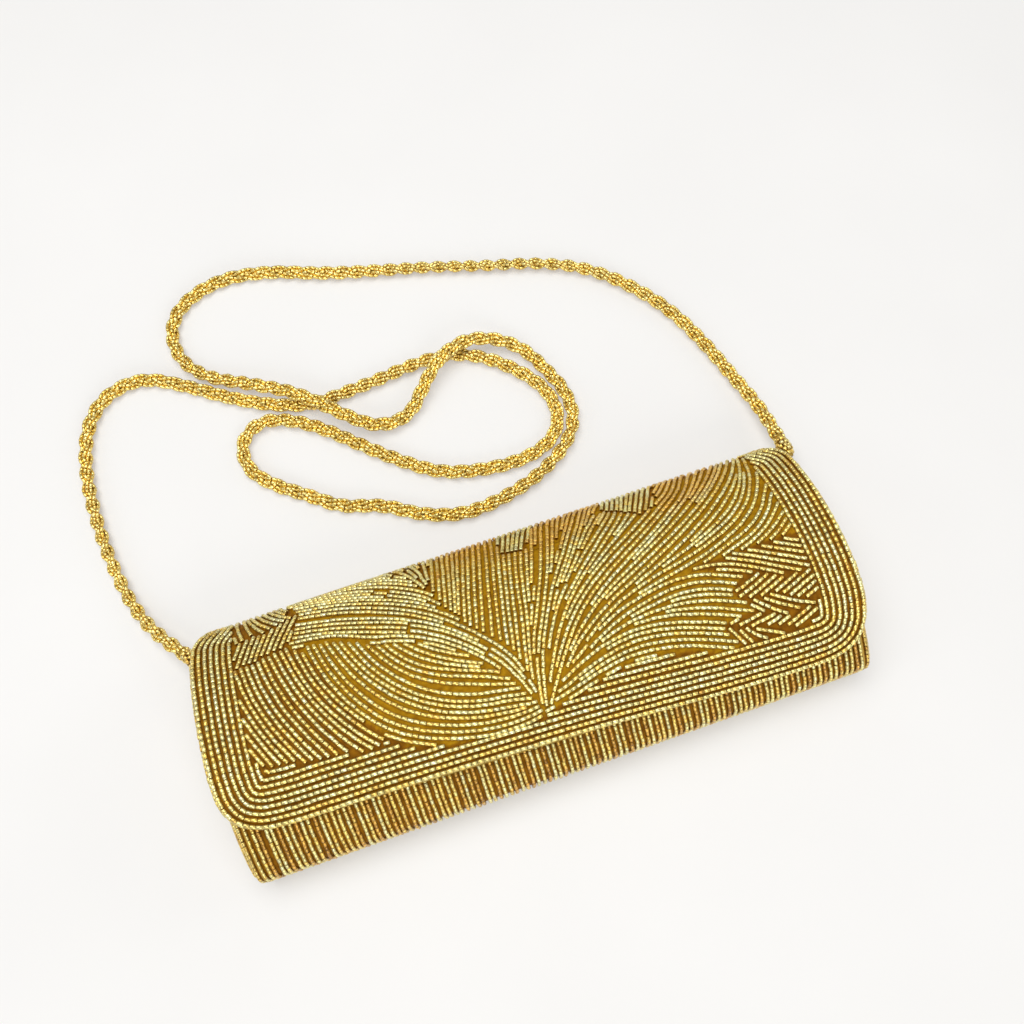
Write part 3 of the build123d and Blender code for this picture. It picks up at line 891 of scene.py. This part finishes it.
FOLD_TONE = 0.7
BORDER_TONE = 0.78
RIM_TONE = 0.72
TONES = [tone for tone, *_ in REGIONS.values()] + [FOLD_TONE, BORDER_TONE]
PALE_REGIONS = [number for number, name in enumerate(REGIONS) if name.startswith("notch")]
PETALS = [number for number, name in enumerate(REGIONS) if name.startswith("petal")]
BORDER_ROWS = 9
BORDER_PITCH = 2.3
FIRST_BORDER_ROW = 0.95      # from the flap's edge to the middle of its first row
FOLD_SPLIT = -40.0           # the flap's beads and satin behind this bend with the fold
PIECE_SPLIT = -12            # x where the petals' and the fold's beads part into two pieces
BORDER_INSIDE = 103.7        # |x| where the border starts beside the rows on the fold
FOLD_ROWS_HALF = 102.0


def region_map(step=0.5):
    """Grid of the flat with the number of the region that owns each place."""
    x = np.arange(-121, 121, step)
    y = np.arange(FOLD_START - 1, 43, step)
    flat = np.stack(np.meshgrid(x, y, indexing="ij"), -1).reshape(-1, 2)
    owner = np.full(len(flat), -2)
    owner[inside(flat, EDGE_LINE)] = -1
    field = (owner == -1) & inside(flat, np.array(FIELD))
    outlines = [np.array(outline) for _, outline, *_ in REGIONS.values()]
    for number, outline in reversed(list(enumerate(outlines))):
        owner[field & inside(flat, outline)] = number
    loose = np.flatnonzero(field & (owner == -1))
    apart = np.stack([distance_to(flat[loose], outline) for outline in outlines])
    owner[loose] = np.argmin(apart, axis=0)
    places = [flat[owner == number][::7] for number in range(len(REGIONS))]
    return x[0], y[0], step, owner.reshape(len(x), len(y)), places


MAP_X, MAP_Y, MAP_STEP, OWNER, PLACES = region_map()


def owner_of(flat):
    """Number of the region at each place: -1 is the border, -2 is off the flap."""
    flat = np.asarray(flat)
    column = np.clip(((flat[..., 0] - MAP_X) / MAP_STEP).round().astype(int), 0, OWNER.shape[0] - 1)
    row = np.clip(((flat[..., 1] - MAP_Y) / MAP_STEP).round().astype(int), 0, OWNER.shape[1] - 1)
    return OWNER[column, row]


def in_border(flat):
    beside_field = (flat[:, 1] > FIELD_BACK) | (np.abs(flat[:, 0]) > BORDER_INSIDE)
    return (owner_of(flat) == -1) & beside_field


def plan_flap():
    """The flap's and its fold's rows: border first, then each region's own."""
    plan = RowPlan()
    for line in offset_rows(EDGE_LINE, FIRST_BORDER_ROW, BORDER_PITCH, BORDER_ROWS):
        plan.add_clipped(line, in_border, -1)
    for number, (_, _, *guides) in enumerate(REGIONS.values()):
        plan.fill(number, lambda p: owner_of(p) == number, guides, PLACES[number], ROW_PITCH)
    plan.join_ends()
    for x in np.arange(-FOLD_ROWS_HALF, FOLD_ROWS_HALF + 1, ROW_PITCH):
        plan.add(np.array([(x, FOLD_START + 0.6), (x, -70), (x, FIELD_BACK - 1.3)]), len(REGIONS))
    return plan


def warmth(flat):
    """Painted shade: a share of orange-gold, up to 0.75, mixed into the beads towards the fold on the right,
    where the flap turns away from the light; 0 on the pale notches and elsewhere.
    """
    edge = -36 + 5 * np.sin(flat[:, 0] / 9)
    depth = np.clip((edge - flat[:, 1]) / 9, 0, 1)
    side = np.clip((flat[:, 0] + 24) / 8, 0, 1) * np.clip((98 - flat[:, 0]) / 8, 0, 1)
    pale = np.isin(owner_of(flat), PALE_REGIONS)
    return np.where(pale, 0, depth * side * 0.75)


flap_beads = Beads()
for row, number in plan_flap().rows:
    flap_beads.thread(row, number, TONES[number], BEAD_LENGTH)
flap_beads.finish()

on_fold = flap_beads.flat[:, 1] < FOLD_SPLIT
in_petals = np.isin(flap_beads.fields, PETALS)
to_left = flap_beads.flat[:, 0] < PIECE_SPLIT
FLAP_GROUPS = {
    "flap_border_beads": ~on_fold & (flap_beads.fields == -1),
    "flap_petal_beads_left": ~on_fold & in_petals & to_left,
    "flap_petal_beads_right": ~on_fold & in_petals & ~to_left,
    "flap_ground_beads": ~on_fold & ~in_petals & (flap_beads.fields != -1),
}


def flap_bead_mesh(name, pick):
    beads = flap_beads.laid(flap_section, pick, BEAD_RADIUS, warmth)
    return bead_mesh(name, beads, BEAD_GOLD, BEAD_RADIUS)


pieces_on_flap = [flap_bead_mesh(name, pick) for name, pick in FLAP_GROUPS.items()]
rim_beads = Beads()
rim_line = EDGE_LINE[EDGE_LINE[:, 1] > FOLD_SPLIT]
rim_beads.thread(rim_line, -1, RIM_TONE, BEAD_LENGTH)
rim_beads.finish()
rim = rim_beads.laid(flap_section, slice(None), RIM_BEAD_RADIUS, sink=GROUND_DEPTH)
pieces_on_flap.append(bead_mesh("flap_rim_beads", rim, BEAD_GOLD, RIM_BEAD_RADIUS))
pieces_on_fold = [
    flap_bead_mesh("fold_beads_left", on_fold & to_left),
    flap_bead_mesh("fold_beads_right", on_fold & ~to_left),
]

# ---------------------------------------------------------------- satin of flap and fold


def petal_share(x, s):
    """1 inside the petals, 0 elsewhere, for the satin's colour."""
    return np.isin(owner_of(np.stack([x, s], -1)), PETALS).astype(float)


def ripple(points, size, amount):
    """Small even unevenness for a fabric's surface, in millimetres."""
    flat = points.reshape(-1, 3)
    values = [noise.noise(Vector(p) / size) for p in flat]
    return np.array(values).reshape(points.shape[:-1]) * amount


def build_flap_satin():
    """The flap's satin: even under the beads and softly puckered inside."""
    columns = np.concatenate([np.arange(-119.9, 119.8, 0.9), [119.9]])[::-1]
    front = EDGE_LINE[EDGE_LINE[:, 1] > -5]
    lowest = np.interp(columns, front[:, 0], front[:, 1]) - 0.25
    s = FOLD_SPLIT + (lowest - FOLD_SPLIT) * np.linspace(0, 1, 90)[:, None]
    x = np.broadcast_to(columns, s.shape)
    seat, _, _ = flap_section.at(x, s, -GROUND_DEPTH)
    pucker = ripple(seat, 7, 0.18)
    under, _, _ = flap_section.at(x, s, -FLAP_INSIDE - 0.1 + pucker)
    return shell("flap_fabric", seat, under, BEAD_COVER, {"petal": petal_share(x, s)})


def build_fold_satin():
    """The fold's satin, narrower where its edge turns in, with fine gathers inside."""
    s = np.linspace(FOLD_START, FOLD_SPLIT, 50)[:, None]
    side = EDGE_LINE[(EDGE_LINE[:, 0] < 0) & (EDGE_LINE[:, 1] < 0)]
    x = np.linspace(1, -1, 240) * (-np.interp(s, side[:, 1], side[:, 0]) - 0.3)
    s = np.broadcast_to(s, x.shape)
    seat, _, _ = flap_section.at(x, s, -GROUND_DEPTH)
    gather = 0.12 * np.sin(x / 1.9 + 2 * np.sin(x / 17))
    under, _, _ = flap_section.at(x, s, -BEAD_LAYER - LINING_THICKNESS + gather)
    return shell("fold_fabric", seat, under, BEAD_COVER, {"petal": petal_share(x, s)})


def build_flap_edge():
    """The rolled satin edge under the outermost row."""
    middle, up, _ = flap_section.at(rim_line[:, 0], rim_line[:, 1], -3.0)
    outward = np.cross(unit(np.gradient(middle, axis=0)), up)
    number = np.arange(len(rim_line))[:, None]
    wobble = 0.07 * np.sin(number * 1.3) + 0.05 * np.sin(number * 0.37)
    middle = middle - outward * (0.45 + wobble)
    return roll("flap_edge", middle, outward, up, 0.6, 0.62, EDGE_SATIN)


flap_fabric = build_flap_satin()
fold_fabric = build_fold_satin()
flap_edge = build_flap_edge()
pieces_on_flap += [flap_fabric, flap_edge]
pieces_on_fold.append(fold_fabric)
for piece in pieces_on_flap:
    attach(piece, "flap")
for piece in pieces_on_fold:
    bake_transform(piece)
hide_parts("flap_bead_skin")
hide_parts("flap_lining")
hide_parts("flap_edge_binding")
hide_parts("fold_lining")

# ---------------------------------------------------------------- body

BODY_PITCH = 2.13
BODY_BEAD = 1.82
BODY_BEAD_RADIUS = 0.7
BODY_GROUND_DEPTH = 1.3
BODY_TONES = (0.8, 0.7, 0.34)
ODD_TONE = 0.6
ODD_SHARE = 0.12             # of the rows have the odd tone instead
BACK_SPLIT = 38              # height of the lower of the back's two pieces

body_outside = body_line(0)
BODY_END = body_outside.run[-1]
front_run = math.radians(CORNER_ANGLE - MOUTH_ANGLE) * BODY_RADIUS
strip_from = front_run - 24.0


def thread_body():
    """Rows from the flap's cover over front, base and back: two bright ones, then a dull one."""
    beads = Beads()
    reach = PANEL_HALF - 0.2
    for number, x in enumerate(np.linspace(-reach, reach, round(2 * reach / BODY_PITCH) + 1)):
        tone = ODD_TONE if random.random() < ODD_SHARE else BODY_TONES[number % 3]
        places = np.arange(strip_from, BODY_END - 1, 2.0)
        sway = np.cumsum(random.normal(0, 0.035, len(places)))
        line = np.stack([x + np.clip(sway - sway.mean(), -0.25, 0.25), places], 1)
        beads.thread(line, number, tone, BODY_BEAD)
    beads.finish()
    return beads


body_beads = thread_body()
base_from = front_run - 1
on_back = body_outside.points[:, 1] < 0.1
back_from = body_outside.run[on_back][0]
BODY_PIECES = {
    "front_beads": (strip_from - 1, base_from, "front_bead_panel"),
    "base_beads": (base_from, back_from, "base_bead_panel"),
    "back_low_beads": (back_from, back_from + BACK_SPLIT, None),
    "back_high_beads": (back_from + BACK_SPLIT, BODY_END + 1, "back_bead_panel"),
}
for name, (low, high, node) in BODY_PIECES.items():
    place = body_beads.flat[:, 1]
    pick = (place >= low) & (place < high)
    beads = body_beads.laid(body_outside, pick, BODY_BEAD_RADIUS)
    made = bead_mesh(name, beads, BEAD_GOLD, BODY_BEAD_RADIUS)
    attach(made, "bag")
    if node:
        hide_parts(node)


def wrap_sheet(name, low, high, rows, materials, gathers=0.0):
    """Fabric round the body's boards between two lengths of its section."""
    x = np.linspace(PANEL_HALF, -PANEL_HALF, 160)[None]
    x, s = np.broadcast_arrays(x, np.linspace(low, high, rows)[:, None])
    seat, _, _ = body_outside.at(x, s, -BODY_GROUND_DEPTH)
    seat, _, _ = body_outside.at(x, s, -BODY_GROUND_DEPTH + ripple(seat, 9, gathers))
    board_side, _, _ = body_outside.at(x, s, -BEAD_LAYER)
    made = shell(name, seat, board_side, materials, {"petal": np.zeros(x.shape)})
    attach(made, "bag")
    return made


strip_edge = strip_from - 1
wrap_sheet("body_fabric", strip_edge, BODY_END, 110, BEAD_COVER)
front_satin = wrap_sheet("front_satin", 0, strip_edge, 60, ALL_SATIN, gathers=0.22)
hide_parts("front_satin_panel")


END_PITCH = 2.1
END_ROWS = 4                 # rows that follow the end's outline
FIRST_END_ROW = 0.85
END_PUFF = 3.0               # the soft ends stand out this much in their middle
PUFF_DEPTH = 7.0
END_MIDDLE = [(-34, 12), (-20, 17), (-5, 19), (10, 17), (24, 9)]
END_CENTRE = np.array([-6.0, 17.0])
END_TONE = 0.6
END_SATIN = 0.45
END_BEAD_MIDDLE = 1.2        # from the end's board to the middle of its beads


def end_outline(inset, step):
    """The body's end shape in YZ, moved inwards, as a closed line."""
    wrap = body_line(inset).points
    corner = [(MOUTH_BACK_Y - inset, inset)]
    line = np.concatenate([wrap[wrap[:, 1] > inset + 1e-3], [(-40, inset)], corner, wrap[:1]])
    return resample(line, step)[:-1]


def end_puff(flat, outline, height):
    """How far an end stands out at places in YZ: nothing at its outline, height in the middle."""
    depth = np.clip(distance_to(flat, outline) / PUFF_DEPTH, 0, 1)
    return height * (1 - (1 - depth) ** 2)


def end_sheet(name, side, inset, near, far, puff, materials, folds=0.0):
    """Sheet in the shape of the body's end, between |x| of near and far, puffed up in its middle."""
    sign = SIDES[side]
    outline = end_outline(inset, 1.5)
    share = np.linspace(1, 0.001, 24)[:, None, None]
    grid = END_CENTRE + (outline[None] - END_CENTRE) * share
    grid = np.concatenate([grid, grid[:, :1]], 1)
    rise = end_puff(grid.reshape(-1, 2), outline, puff).reshape(grid.shape[:2])
    outer = np.concatenate([(far + rise)[..., None] * sign, grid], -1)
    inner = np.concatenate([np.full((*rise.shape, 1), near * sign), grid], -1)
    inner[..., 0] += folds * ripple(outer, 9, 1.0) * (1 - share[..., 0] ** 4) * sign
    if sign < 0:
        outer = outer[:, ::-1]
        inner = inner[:, ::-1]
    return shell(name, outer, inner, materials, {"petal": np.zeros(grid.shape[:2])})


def build_end(side):
    """One end: satin over its board, with rows of beads that follow its outline."""
    sign = SIDES[side]
    name = f"end_fabric_{side}"
    fabric = end_sheet(name, side, 0, PANEL_HALF, PANEL_HALF + END_SATIN, END_PUFF, BEAD_COVER)
    closed = end_outline(0, 0.8)
    closed = np.concatenate([closed, closed[:1]])
    plan = RowPlan()
    for line in offset_rows(closed[::-1], FIRST_END_ROW, END_PITCH, END_ROWS):
        plan.add(line, 0)

    def within(place):
        return inside(np.array([place]), closed)[0]

    middle = end_outline(END_ROWS * END_PITCH + FIRST_END_ROW, 2.0)
    plan.fill(0, within, [END_MIDDLE], middle, END_PITCH)
    threads = Beads()
    for line, _ in plan.rows:
        threads.thread(line, 0, END_TONE, BODY_BEAD)
    threads.finish()
    flat, angle = threads.flat, threads.angle
    count = len(flat)
    standing = PANEL_HALF + END_BEAD_MIDDLE + end_puff(flat, end_outline(0, 1.5), END_PUFF)
    centres = np.column_stack([standing * sign, flat])
    along = np.column_stack([np.zeros(count), np.cos(angle), np.sin(angle)])
    out = spread((sign, 0, 0), count)
    beads = (centres, along, out, threads.lengths, threads.tones, np.zeros(count))
    rows = bead_mesh(f"end_beads_{side}", beads, BEAD_GOLD, BODY_BEAD_RADIUS)
    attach(fabric, "bag")
    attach(rows, "bag")
    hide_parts(f"{side}_end_cover")


for side in SIDES:
    build_end(side)

# ---------------------------------------------------------------- inside of the bag

POCKET_HALF = 55.0
POCKET_LOW_Y = -30.0
POCKET_HIGH_Y = 8.0
POCKET_SEAT = WALL + LINING_THICKNESS
STITCH_STEP = 2.6
STITCH_LENGTH = 1.7
MOUTH_BAND = 1.3             # degrees of the front's arc that its binding takes
LINING_END_Y = 30.3
TAB_HEIGHT = 9.4
TAB_LINE = [
    (114.4, 29.4), (114.4, 33), (114.45, 36.2), (115.4, 38.6), (117.6, 39.5), (120, 39.5), (122.3, 39.5),
]


def build_lining():
    """Satin lining over front, base, back and ends, with soft wrinkles."""
    line = body_line(WALL, MOUTH_ANGLE + 1.2).measure_from(LINING_END_Y, after=60)
    s = np.linspace(line.run[0], 0, 150)[:, None]
    x = np.linspace(-BOARD_HALF + 0.1, BOARD_HALF - 0.1, 150)[None]
    s, x = np.broadcast_arrays(s, x)
    board_side, _, _ = line.at(x, s, -0.04)
    wrinkles = 0.3 * np.abs(ripple(board_side, 14, 1.0)) + ripple(board_side, 5, 0.08)
    room_side, _, _ = line.at(x, s, -LINING_THICKNESS - wrinkles)
    wrap = shell("lining", room_side, board_side, ALL_SATIN)
    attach(wrap, "bag")
    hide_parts("lining_pouch")
    for side in SIDES:
        name = f"lining_end_{side}"
        sheet = end_sheet(name, side, WALL, BOARD_HALF - 0.55, BOARD_HALF - 0.05, 0, ALL_SATIN, 0.25)
        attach(sheet, "bag")


def build_pocket():
    """Flat satin pocket on the back's lining, open towards the mouth, sewn round three sides."""
    share = np.linspace(0, 1, 40)[:, None]
    share, across = np.broadcast_arrays(share, np.linspace(-1, 1, 90)[None])
    x = across * (POCKET_HALF - 0.35 * np.sin(np.pi * share))
    y = POCKET_LOW_Y + (POCKET_HIGH_Y - POCKET_LOW_Y) * share + 0.4 * np.cos(across * 9) * share
    rim = np.minimum(1, np.minimum(share / 0.08, (1 - np.abs(across)) / 0.03))
    seat = np.stack([x, y, np.full(x.shape, POCKET_SEAT + 0.02)], -1)
    billow = 0.35 * share * (1 - across**2) * (1 + np.cos(across * 11) * 0.4)
    z = POCKET_SEAT + 0.32 + (0.38 + billow) * rim + ripple(seat, 8, 0.09)
    face = np.stack([x, y, z], -1)
    pocket = shell("pocket", face, seat, ALL_SATIN)
    hem = roll("pocket_hem", face[-1] + (0, 0.1, -0.1), Y_AXIS, Z_AXIS, 0.75, 0.5, EDGE_SATIN)
    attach(pocket, "bag")
    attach(hem, "bag")
    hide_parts("slip_pocket")
    seam_x = POCKET_HALF - 1.2
    seam_low = POCKET_LOW_Y + 1.2
    seam_high = POCKET_HIGH_Y - 1.5
    seam = [(-seam_x, seam_high), (-seam_x, seam_low), (seam_x, seam_low), (seam_x, seam_high)]
    stitches = Beads()
    for ends in zip(seam, seam[1:]):
        stitches.thread(resample(np.array(ends), 0.5), 0, 0.3, STITCH_STEP)
    stitches.finish()
    count = len(stitches.flat)
    centres = np.column_stack([stitches.flat, np.full(count, POCKET_SEAT + 0.95)])
    along = np.column_stack([np.cos(stitches.angle), np.sin(stitches.angle), np.zeros(count)])
    lengths = np.full(count, STITCH_LENGTH)
    beads = (centres, along, spread(Z_AXIS, count), lengths, stitches.tones, np.zeros(count))
    thread = bead_mesh("pocket_stitches", beads, EDGE_SATIN, 0.16, SLIM_RINGS, 6)
    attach(thread, "bag")


def build_mouth():
    """Rolled satin binding along the mouth's front edge and over the tops of the ends."""
    angle = math.radians(MOUTH_ANGLE - MOUTH_BAND / 2)
    out = np.array([0, math.cos(angle), math.sin(angle)])
    along_arc = np.cross(X_AXIS, out)
    centre = (0, *FRONT_CENTRE) + out * (BOARD_RADIUS - 0.8)
    x = np.linspace(-BOARD_HALF, BOARD_HALF, 240)[:, None]
    gather = 0.05 * np.sin(x * 2.6) + 0.04 * np.sin(x * 0.9)
    path = centre + X_AXIS * x + out * gather
    front = roll("mouth_front", path, out, along_arc, 1.62, 0.72, EDGE_SATIN)
    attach(front, "bag")
    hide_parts("mouth_binding")
    high = centre - along_arc * 0.3
    low = np.array([0, MOUTH_BACK_Y, WALL - 1.2])
    lying = np.cross(X_AXIS, unit(low - high))
    share = np.linspace(0, 1, 40)[:, None]
    for side, sign in SIDES.items():
        line = high * (1 - share) + low * share + X_AXIS * sign * (PANEL_HALF - 0.1)
        line = line + lying * 0.05 * np.sin(share * 60)
        edge = roll(f"mouth_end_{side}", line, X_AXIS, lying, 1.95, 0.6, EDGE_SATIN)
        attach(edge, "bag")


def build_tab(side):
    """Folded satin loop that comes out beside the fold and holds the strap's end."""
    flat = smooth([(SIDES[side] * x, y) for x, y in TAB_LINE], 0.4)
    share = np.linspace(0, 1, len(flat))
    path = np.column_stack([flat, np.full(len(flat), TAB_HEIGHT)])
    across = np.cross(unit(np.gradient(path, axis=0)), Z_AXIS)
    thick = 0.78 + 1.1 * np.clip((share - 0.35) / 0.4, 0, 1) + 0.04 * np.sin(share * 70)
    tall = 1.95 + 0.05 * np.sin(share * 41)
    up = Z_AXIS * tall[:, None]
    loop = roll(f"tab_{side}", path, across * thick[:, None], up, 1.0, 1.0, EDGE_SATIN, 16)
    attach(loop, "bag")
    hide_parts(f"strap_tab_{side}")


build_lining()
build_pocket()
build_mouth()
for side in SIDES:
    build_tab(side)

# ---------------------------------------------------------------- strap

LIE = 2.6
MID = 5.5
TOP = 8.4
STRAP_ROUTE = [
    (-126, 43.5, 8), (-134, 53, MID), (-142, 68, LIE), (-146.5, 87, LIE),
    (-149, 109, LIE), (-149, 132, LIE), (-144.5, 151.5, LIE), (-134, 163.5, LIE),
    (-117.5, 166.5, LIE), (-100.5, 156.5, LIE), (-84, 144.5, LIE), (-67, 135, LIE),
    (-51.5, 130, LIE), (-38, 131, LIE), (-22.5, 132, LIE), (-7, 134, LIE),
    (8.5, 134, LIE), (22, 128.5, LIE), (34.5, 117.5, LIE), (43.5, 105, LIE),
    (45, 91.5, LIE), (38, 81.5, LIE), (23.5, 77.5, LIE), (6, 79, LIE),
    (-10, 83.5, LIE), (-23, 93, LIE), (-36, 104.5, LIE), (-49.5, 117.5, LIE),
    (-62, 126.5, LIE), (-75, 130.5, LIE), (-85, 123.5, LIE), (-85, 110.5, LIE),
    (-76, 100.5, LIE), (-63.5, 91.5, LIE), (-52.5, 82.5, LIE), (-37, 78.5, LIE),
    (-22.5, 68.5, LIE), (-6, 63, LIE), (11, 64.5, LIE), (27.5, 69, LIE),
    (42.5, 77.5, LIE), (50.5, 88, LIE), (51, 101, LIE), (46.5, 113, LIE),
    (41, 125, LIE), (31, 132.5, MID), (17.5, 135.5, TOP), (3.5, 130, TOP),
    (-6.5, 120, MID), (-15, 111.5, LIE), (-29, 110, MID), (-41.5, 120, TOP),
    (-55.5, 134.5, TOP), (-73.5, 146.5, MID), (-90.5, 156.5, LIE), (-100, 168, LIE),
    (-101.5, 183, LIE), (-93.5, 195, LIE), (-75.5, 201.5, LIE), (-54, 198.5, LIE),
    (-31, 189, LIE), (-8, 182.5, LIE), (15, 176.5, LIE), (38, 169, LIE),
    (60, 163, LIE), (79.5, 153.5, LIE), (95.5, 138, LIE), (107.5, 120.5, LIE),
    (115, 101, LIE), (120.5, 82, LIE), (124.5, 64.5, MID), (125, 50, 8),
]
BRAID_PERIOD = 21.5
BRAID_SWING = 1.55
BRAID_RISE = 0.95
STRAP_BEAD_RADIUS = 0.68
STRAP_BEAD_LENGTH = 2.25
CLUSTER_LENGTH = 9.0
CLUSTER_RINGS = 5
CLUSTER_RING_BEADS = 8
CLUSTER_RADIUS = 2.35
CLUSTER_TONE = 0.72
CLUSTER_BEAD_RADIUS = 0.95
CLUSTER_BEAD_LENGTH = 1.85
# each strand's strings: place across it, height and how pale the beads are; the sunken middle string is
# painted darker, as painted shade
STRINGS = ((-0.78, 0.2, 0.84), (0.0, -0.5, 0.35), (0.78, 0.2, 0.84))


def strap_line():
    """The strap's centreline, read from a spline through its route."""
    curve = bpy.data.curves.new("strap_route", "CURVE")
    curve.dimensions = "3D"
    curve.resolution_u = 12
    spline = curve.splines.new("NURBS")
    spline.points.add(len(STRAP_ROUTE) - 1)
    for point, place in zip(spline.points, STRAP_ROUTE):
        point.co = (*(Vector(place) * MM), 1)
    spline.order_u = 3
    spline.use_endpoint_u = True
    holder = bpy.data.objects.new("strap_route", curve)
    bpy.context.scene.collection.objects.link(holder)
    mesh = bpy.data.meshes.new_from_object(holder)
    line = np.array([v.co for v in mesh.vertices]) / MM
    bpy.data.objects.remove(holder)
    bpy.data.meshes.remove(mesh)
    return resample(line, 0.5)


def sampled(points, run, places):
    """Points of a line at these lengths along it."""
    return np.stack([np.interp(places, run, points[:, i]) for i in range(3)], 1)


def square_to(up, along):
    """Unit vectors as near to up as can be that are square to along."""
    return unit(up - along * np.sum(up * along, axis=1, keepdims=True))


def strand_beads(line, wide, high, run, strand):
    """The three strings of beads that make one strand of the braid."""
    phase = 2 * np.pi * (run / BRAID_PERIOD + strand / 3)
    swing = BRAID_SWING * np.sin(phase)
    rise = BRAID_RISE * np.sin(2 * phase)
    middle = line + wide * swing[:, None] + high * rise[:, None]
    forward = unit(np.gradient(middle, axis=0))
    beside = unit(np.cross(forward, high))
    above = np.cross(beside, forward)
    strings = []
    for across, lift, tone in STRINGS:
        path = middle + beside * across + above * lift
        length = lengths_along(path)
        places = np.arange(0.8, length[-1] - 0.8, STRAP_BEAD_LENGTH)
        count = len(places)
        places = places + random.normal(0, 0.03, count)
        along = unit(sampled(path, length, places + 0.6) - sampled(path, length, places - 0.6))
        up = square_to(sampled(above, length, places), along)
        tones = random.normal(tone, 0.08, count)
        lengths = np.full(count, STRAP_BEAD_LENGTH - 0.05)
        strings.append([sampled(path, length, places), along, up, lengths, tones, np.zeros(count)])
    return [np.concatenate(values) for values in zip(*strings)]


def build_strap():
    line = strap_line()
    forward = unit(np.gradient(line, axis=0))
    side = unit(np.cross(forward, Z_AXIS))
    up = np.cross(side, forward)
    run = lengths_along(line)
    # the flat braid rolls a little as it goes
    tilt = 0.3 * np.sin(run / 31) + 0.3 * np.sin(run / 57 + 1.3)
    wide = side * np.cos(tilt)[:, None] + up * np.sin(tilt)[:, None]
    high = up * np.cos(tilt)[:, None] - side * np.sin(tilt)[:, None]
    strands = []
    for strand in range(3):
        beads = strand_beads(line, wide, high, run, strand)
        made = bead_mesh(f"strap_strand_{strand + 1}", beads, BEAD_STRAP, STRAP_BEAD_RADIUS, SLIM_RINGS, 6)
        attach(made, "bag")
        strands.append(made)
    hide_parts("strap_braid")
    return strands, line


def bead_cluster(side, start, way):
    """Round orange-gold beads wrapped about the strap's end, on a satin core."""
    way = unit(way)
    first = unit(np.cross(way, Z_AXIS))
    second = np.cross(way, first)
    centres, alongs, ups = [], [], []
    for ring in range(CLUSTER_RINGS):
        height = 0.9 + ring * (CLUSTER_LENGTH - 2.4) / (CLUSTER_RINGS - 1)
        around = CLUSTER_RADIUS - 0.12 * (ring - 2) ** 2
        for step in range(CLUSTER_RING_BEADS):
            turn = 2 * np.pi * (step + 0.5 * (ring % 2)) / CLUSTER_RING_BEADS + random.normal(0, 0.06)
            out = first * np.cos(turn) + second * np.sin(turn)
            centres.append(start + way * (height + random.normal(0, 0.12)) + out * around)
            alongs.append(unit(np.cross(way, out) + way * random.normal(0, 0.2)))
            ups.append(out)
    along = np.array(alongs)
    count = len(centres)
    tones = random.normal(CLUSTER_TONE, 0.12, count)
    lengths = np.full(count, CLUSTER_BEAD_LENGTH)
    beads = (np.array(centres), along, square_to(np.array(ups), along), lengths, tones, np.full(count, 0.15))
    cluster = bead_mesh(f"strap_cluster_{side}", beads, BEAD_GOLD, CLUSTER_BEAD_RADIUS, ROUND_RINGS, 10)
    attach(cluster, "bag")
    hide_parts(f"strap_end_{side}")
    core_path = start + way * np.linspace(-1.5, CLUSTER_LENGTH, 12)[:, None]
    core = roll(f"strap_core_{side}", core_path, first, second, 1.7, 1.7, EDGE_SATIN)
    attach(core, "bag")
    return cluster, core


strands, strap_path = build_strap()
left_way = strap_path[0] - strap_path[8]
right_way = strap_path[-1] - strap_path[-9]
cluster_left, core_left = bead_cluster("left", strap_path[0], left_way)
cluster_right, core_right = bead_cluster("right", strap_path[-1], right_way)

# ---------------------------------------------------------------- what stays as made in CAD

CAD_FINISH = {
    BOARD: ["front_board", "base_board", "back_board", "left_end_board", "right_end_board"],
    EDGE_SATIN: ["flap_stiffener"],
    BRASS: ["snap_socket", "snap_socket_washer", "snap_stud", "snap_stud_washer"],
}
for finish, names in CAD_FINISH.items():
    for name in names:
        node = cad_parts[name]
        node.data.materials.clear()
        node.data.materials.append(finish)

FLOOR_HALF = 40000.0
FLOOR_Z = -0.3                # just under the lowest beads


def add_table():
    corners = np.array([(-1, -1, 0), (1, -1, 0), (1, 1, 0), (-1, 1, 0)]) * FLOOR_HALF + (0, 0, FLOOR_Z)
    floor = quad_mesh("table", corners, np.array([(0, 1, 2, 3)]), [table_top()])


add_table()
add_lights()
add_camera()
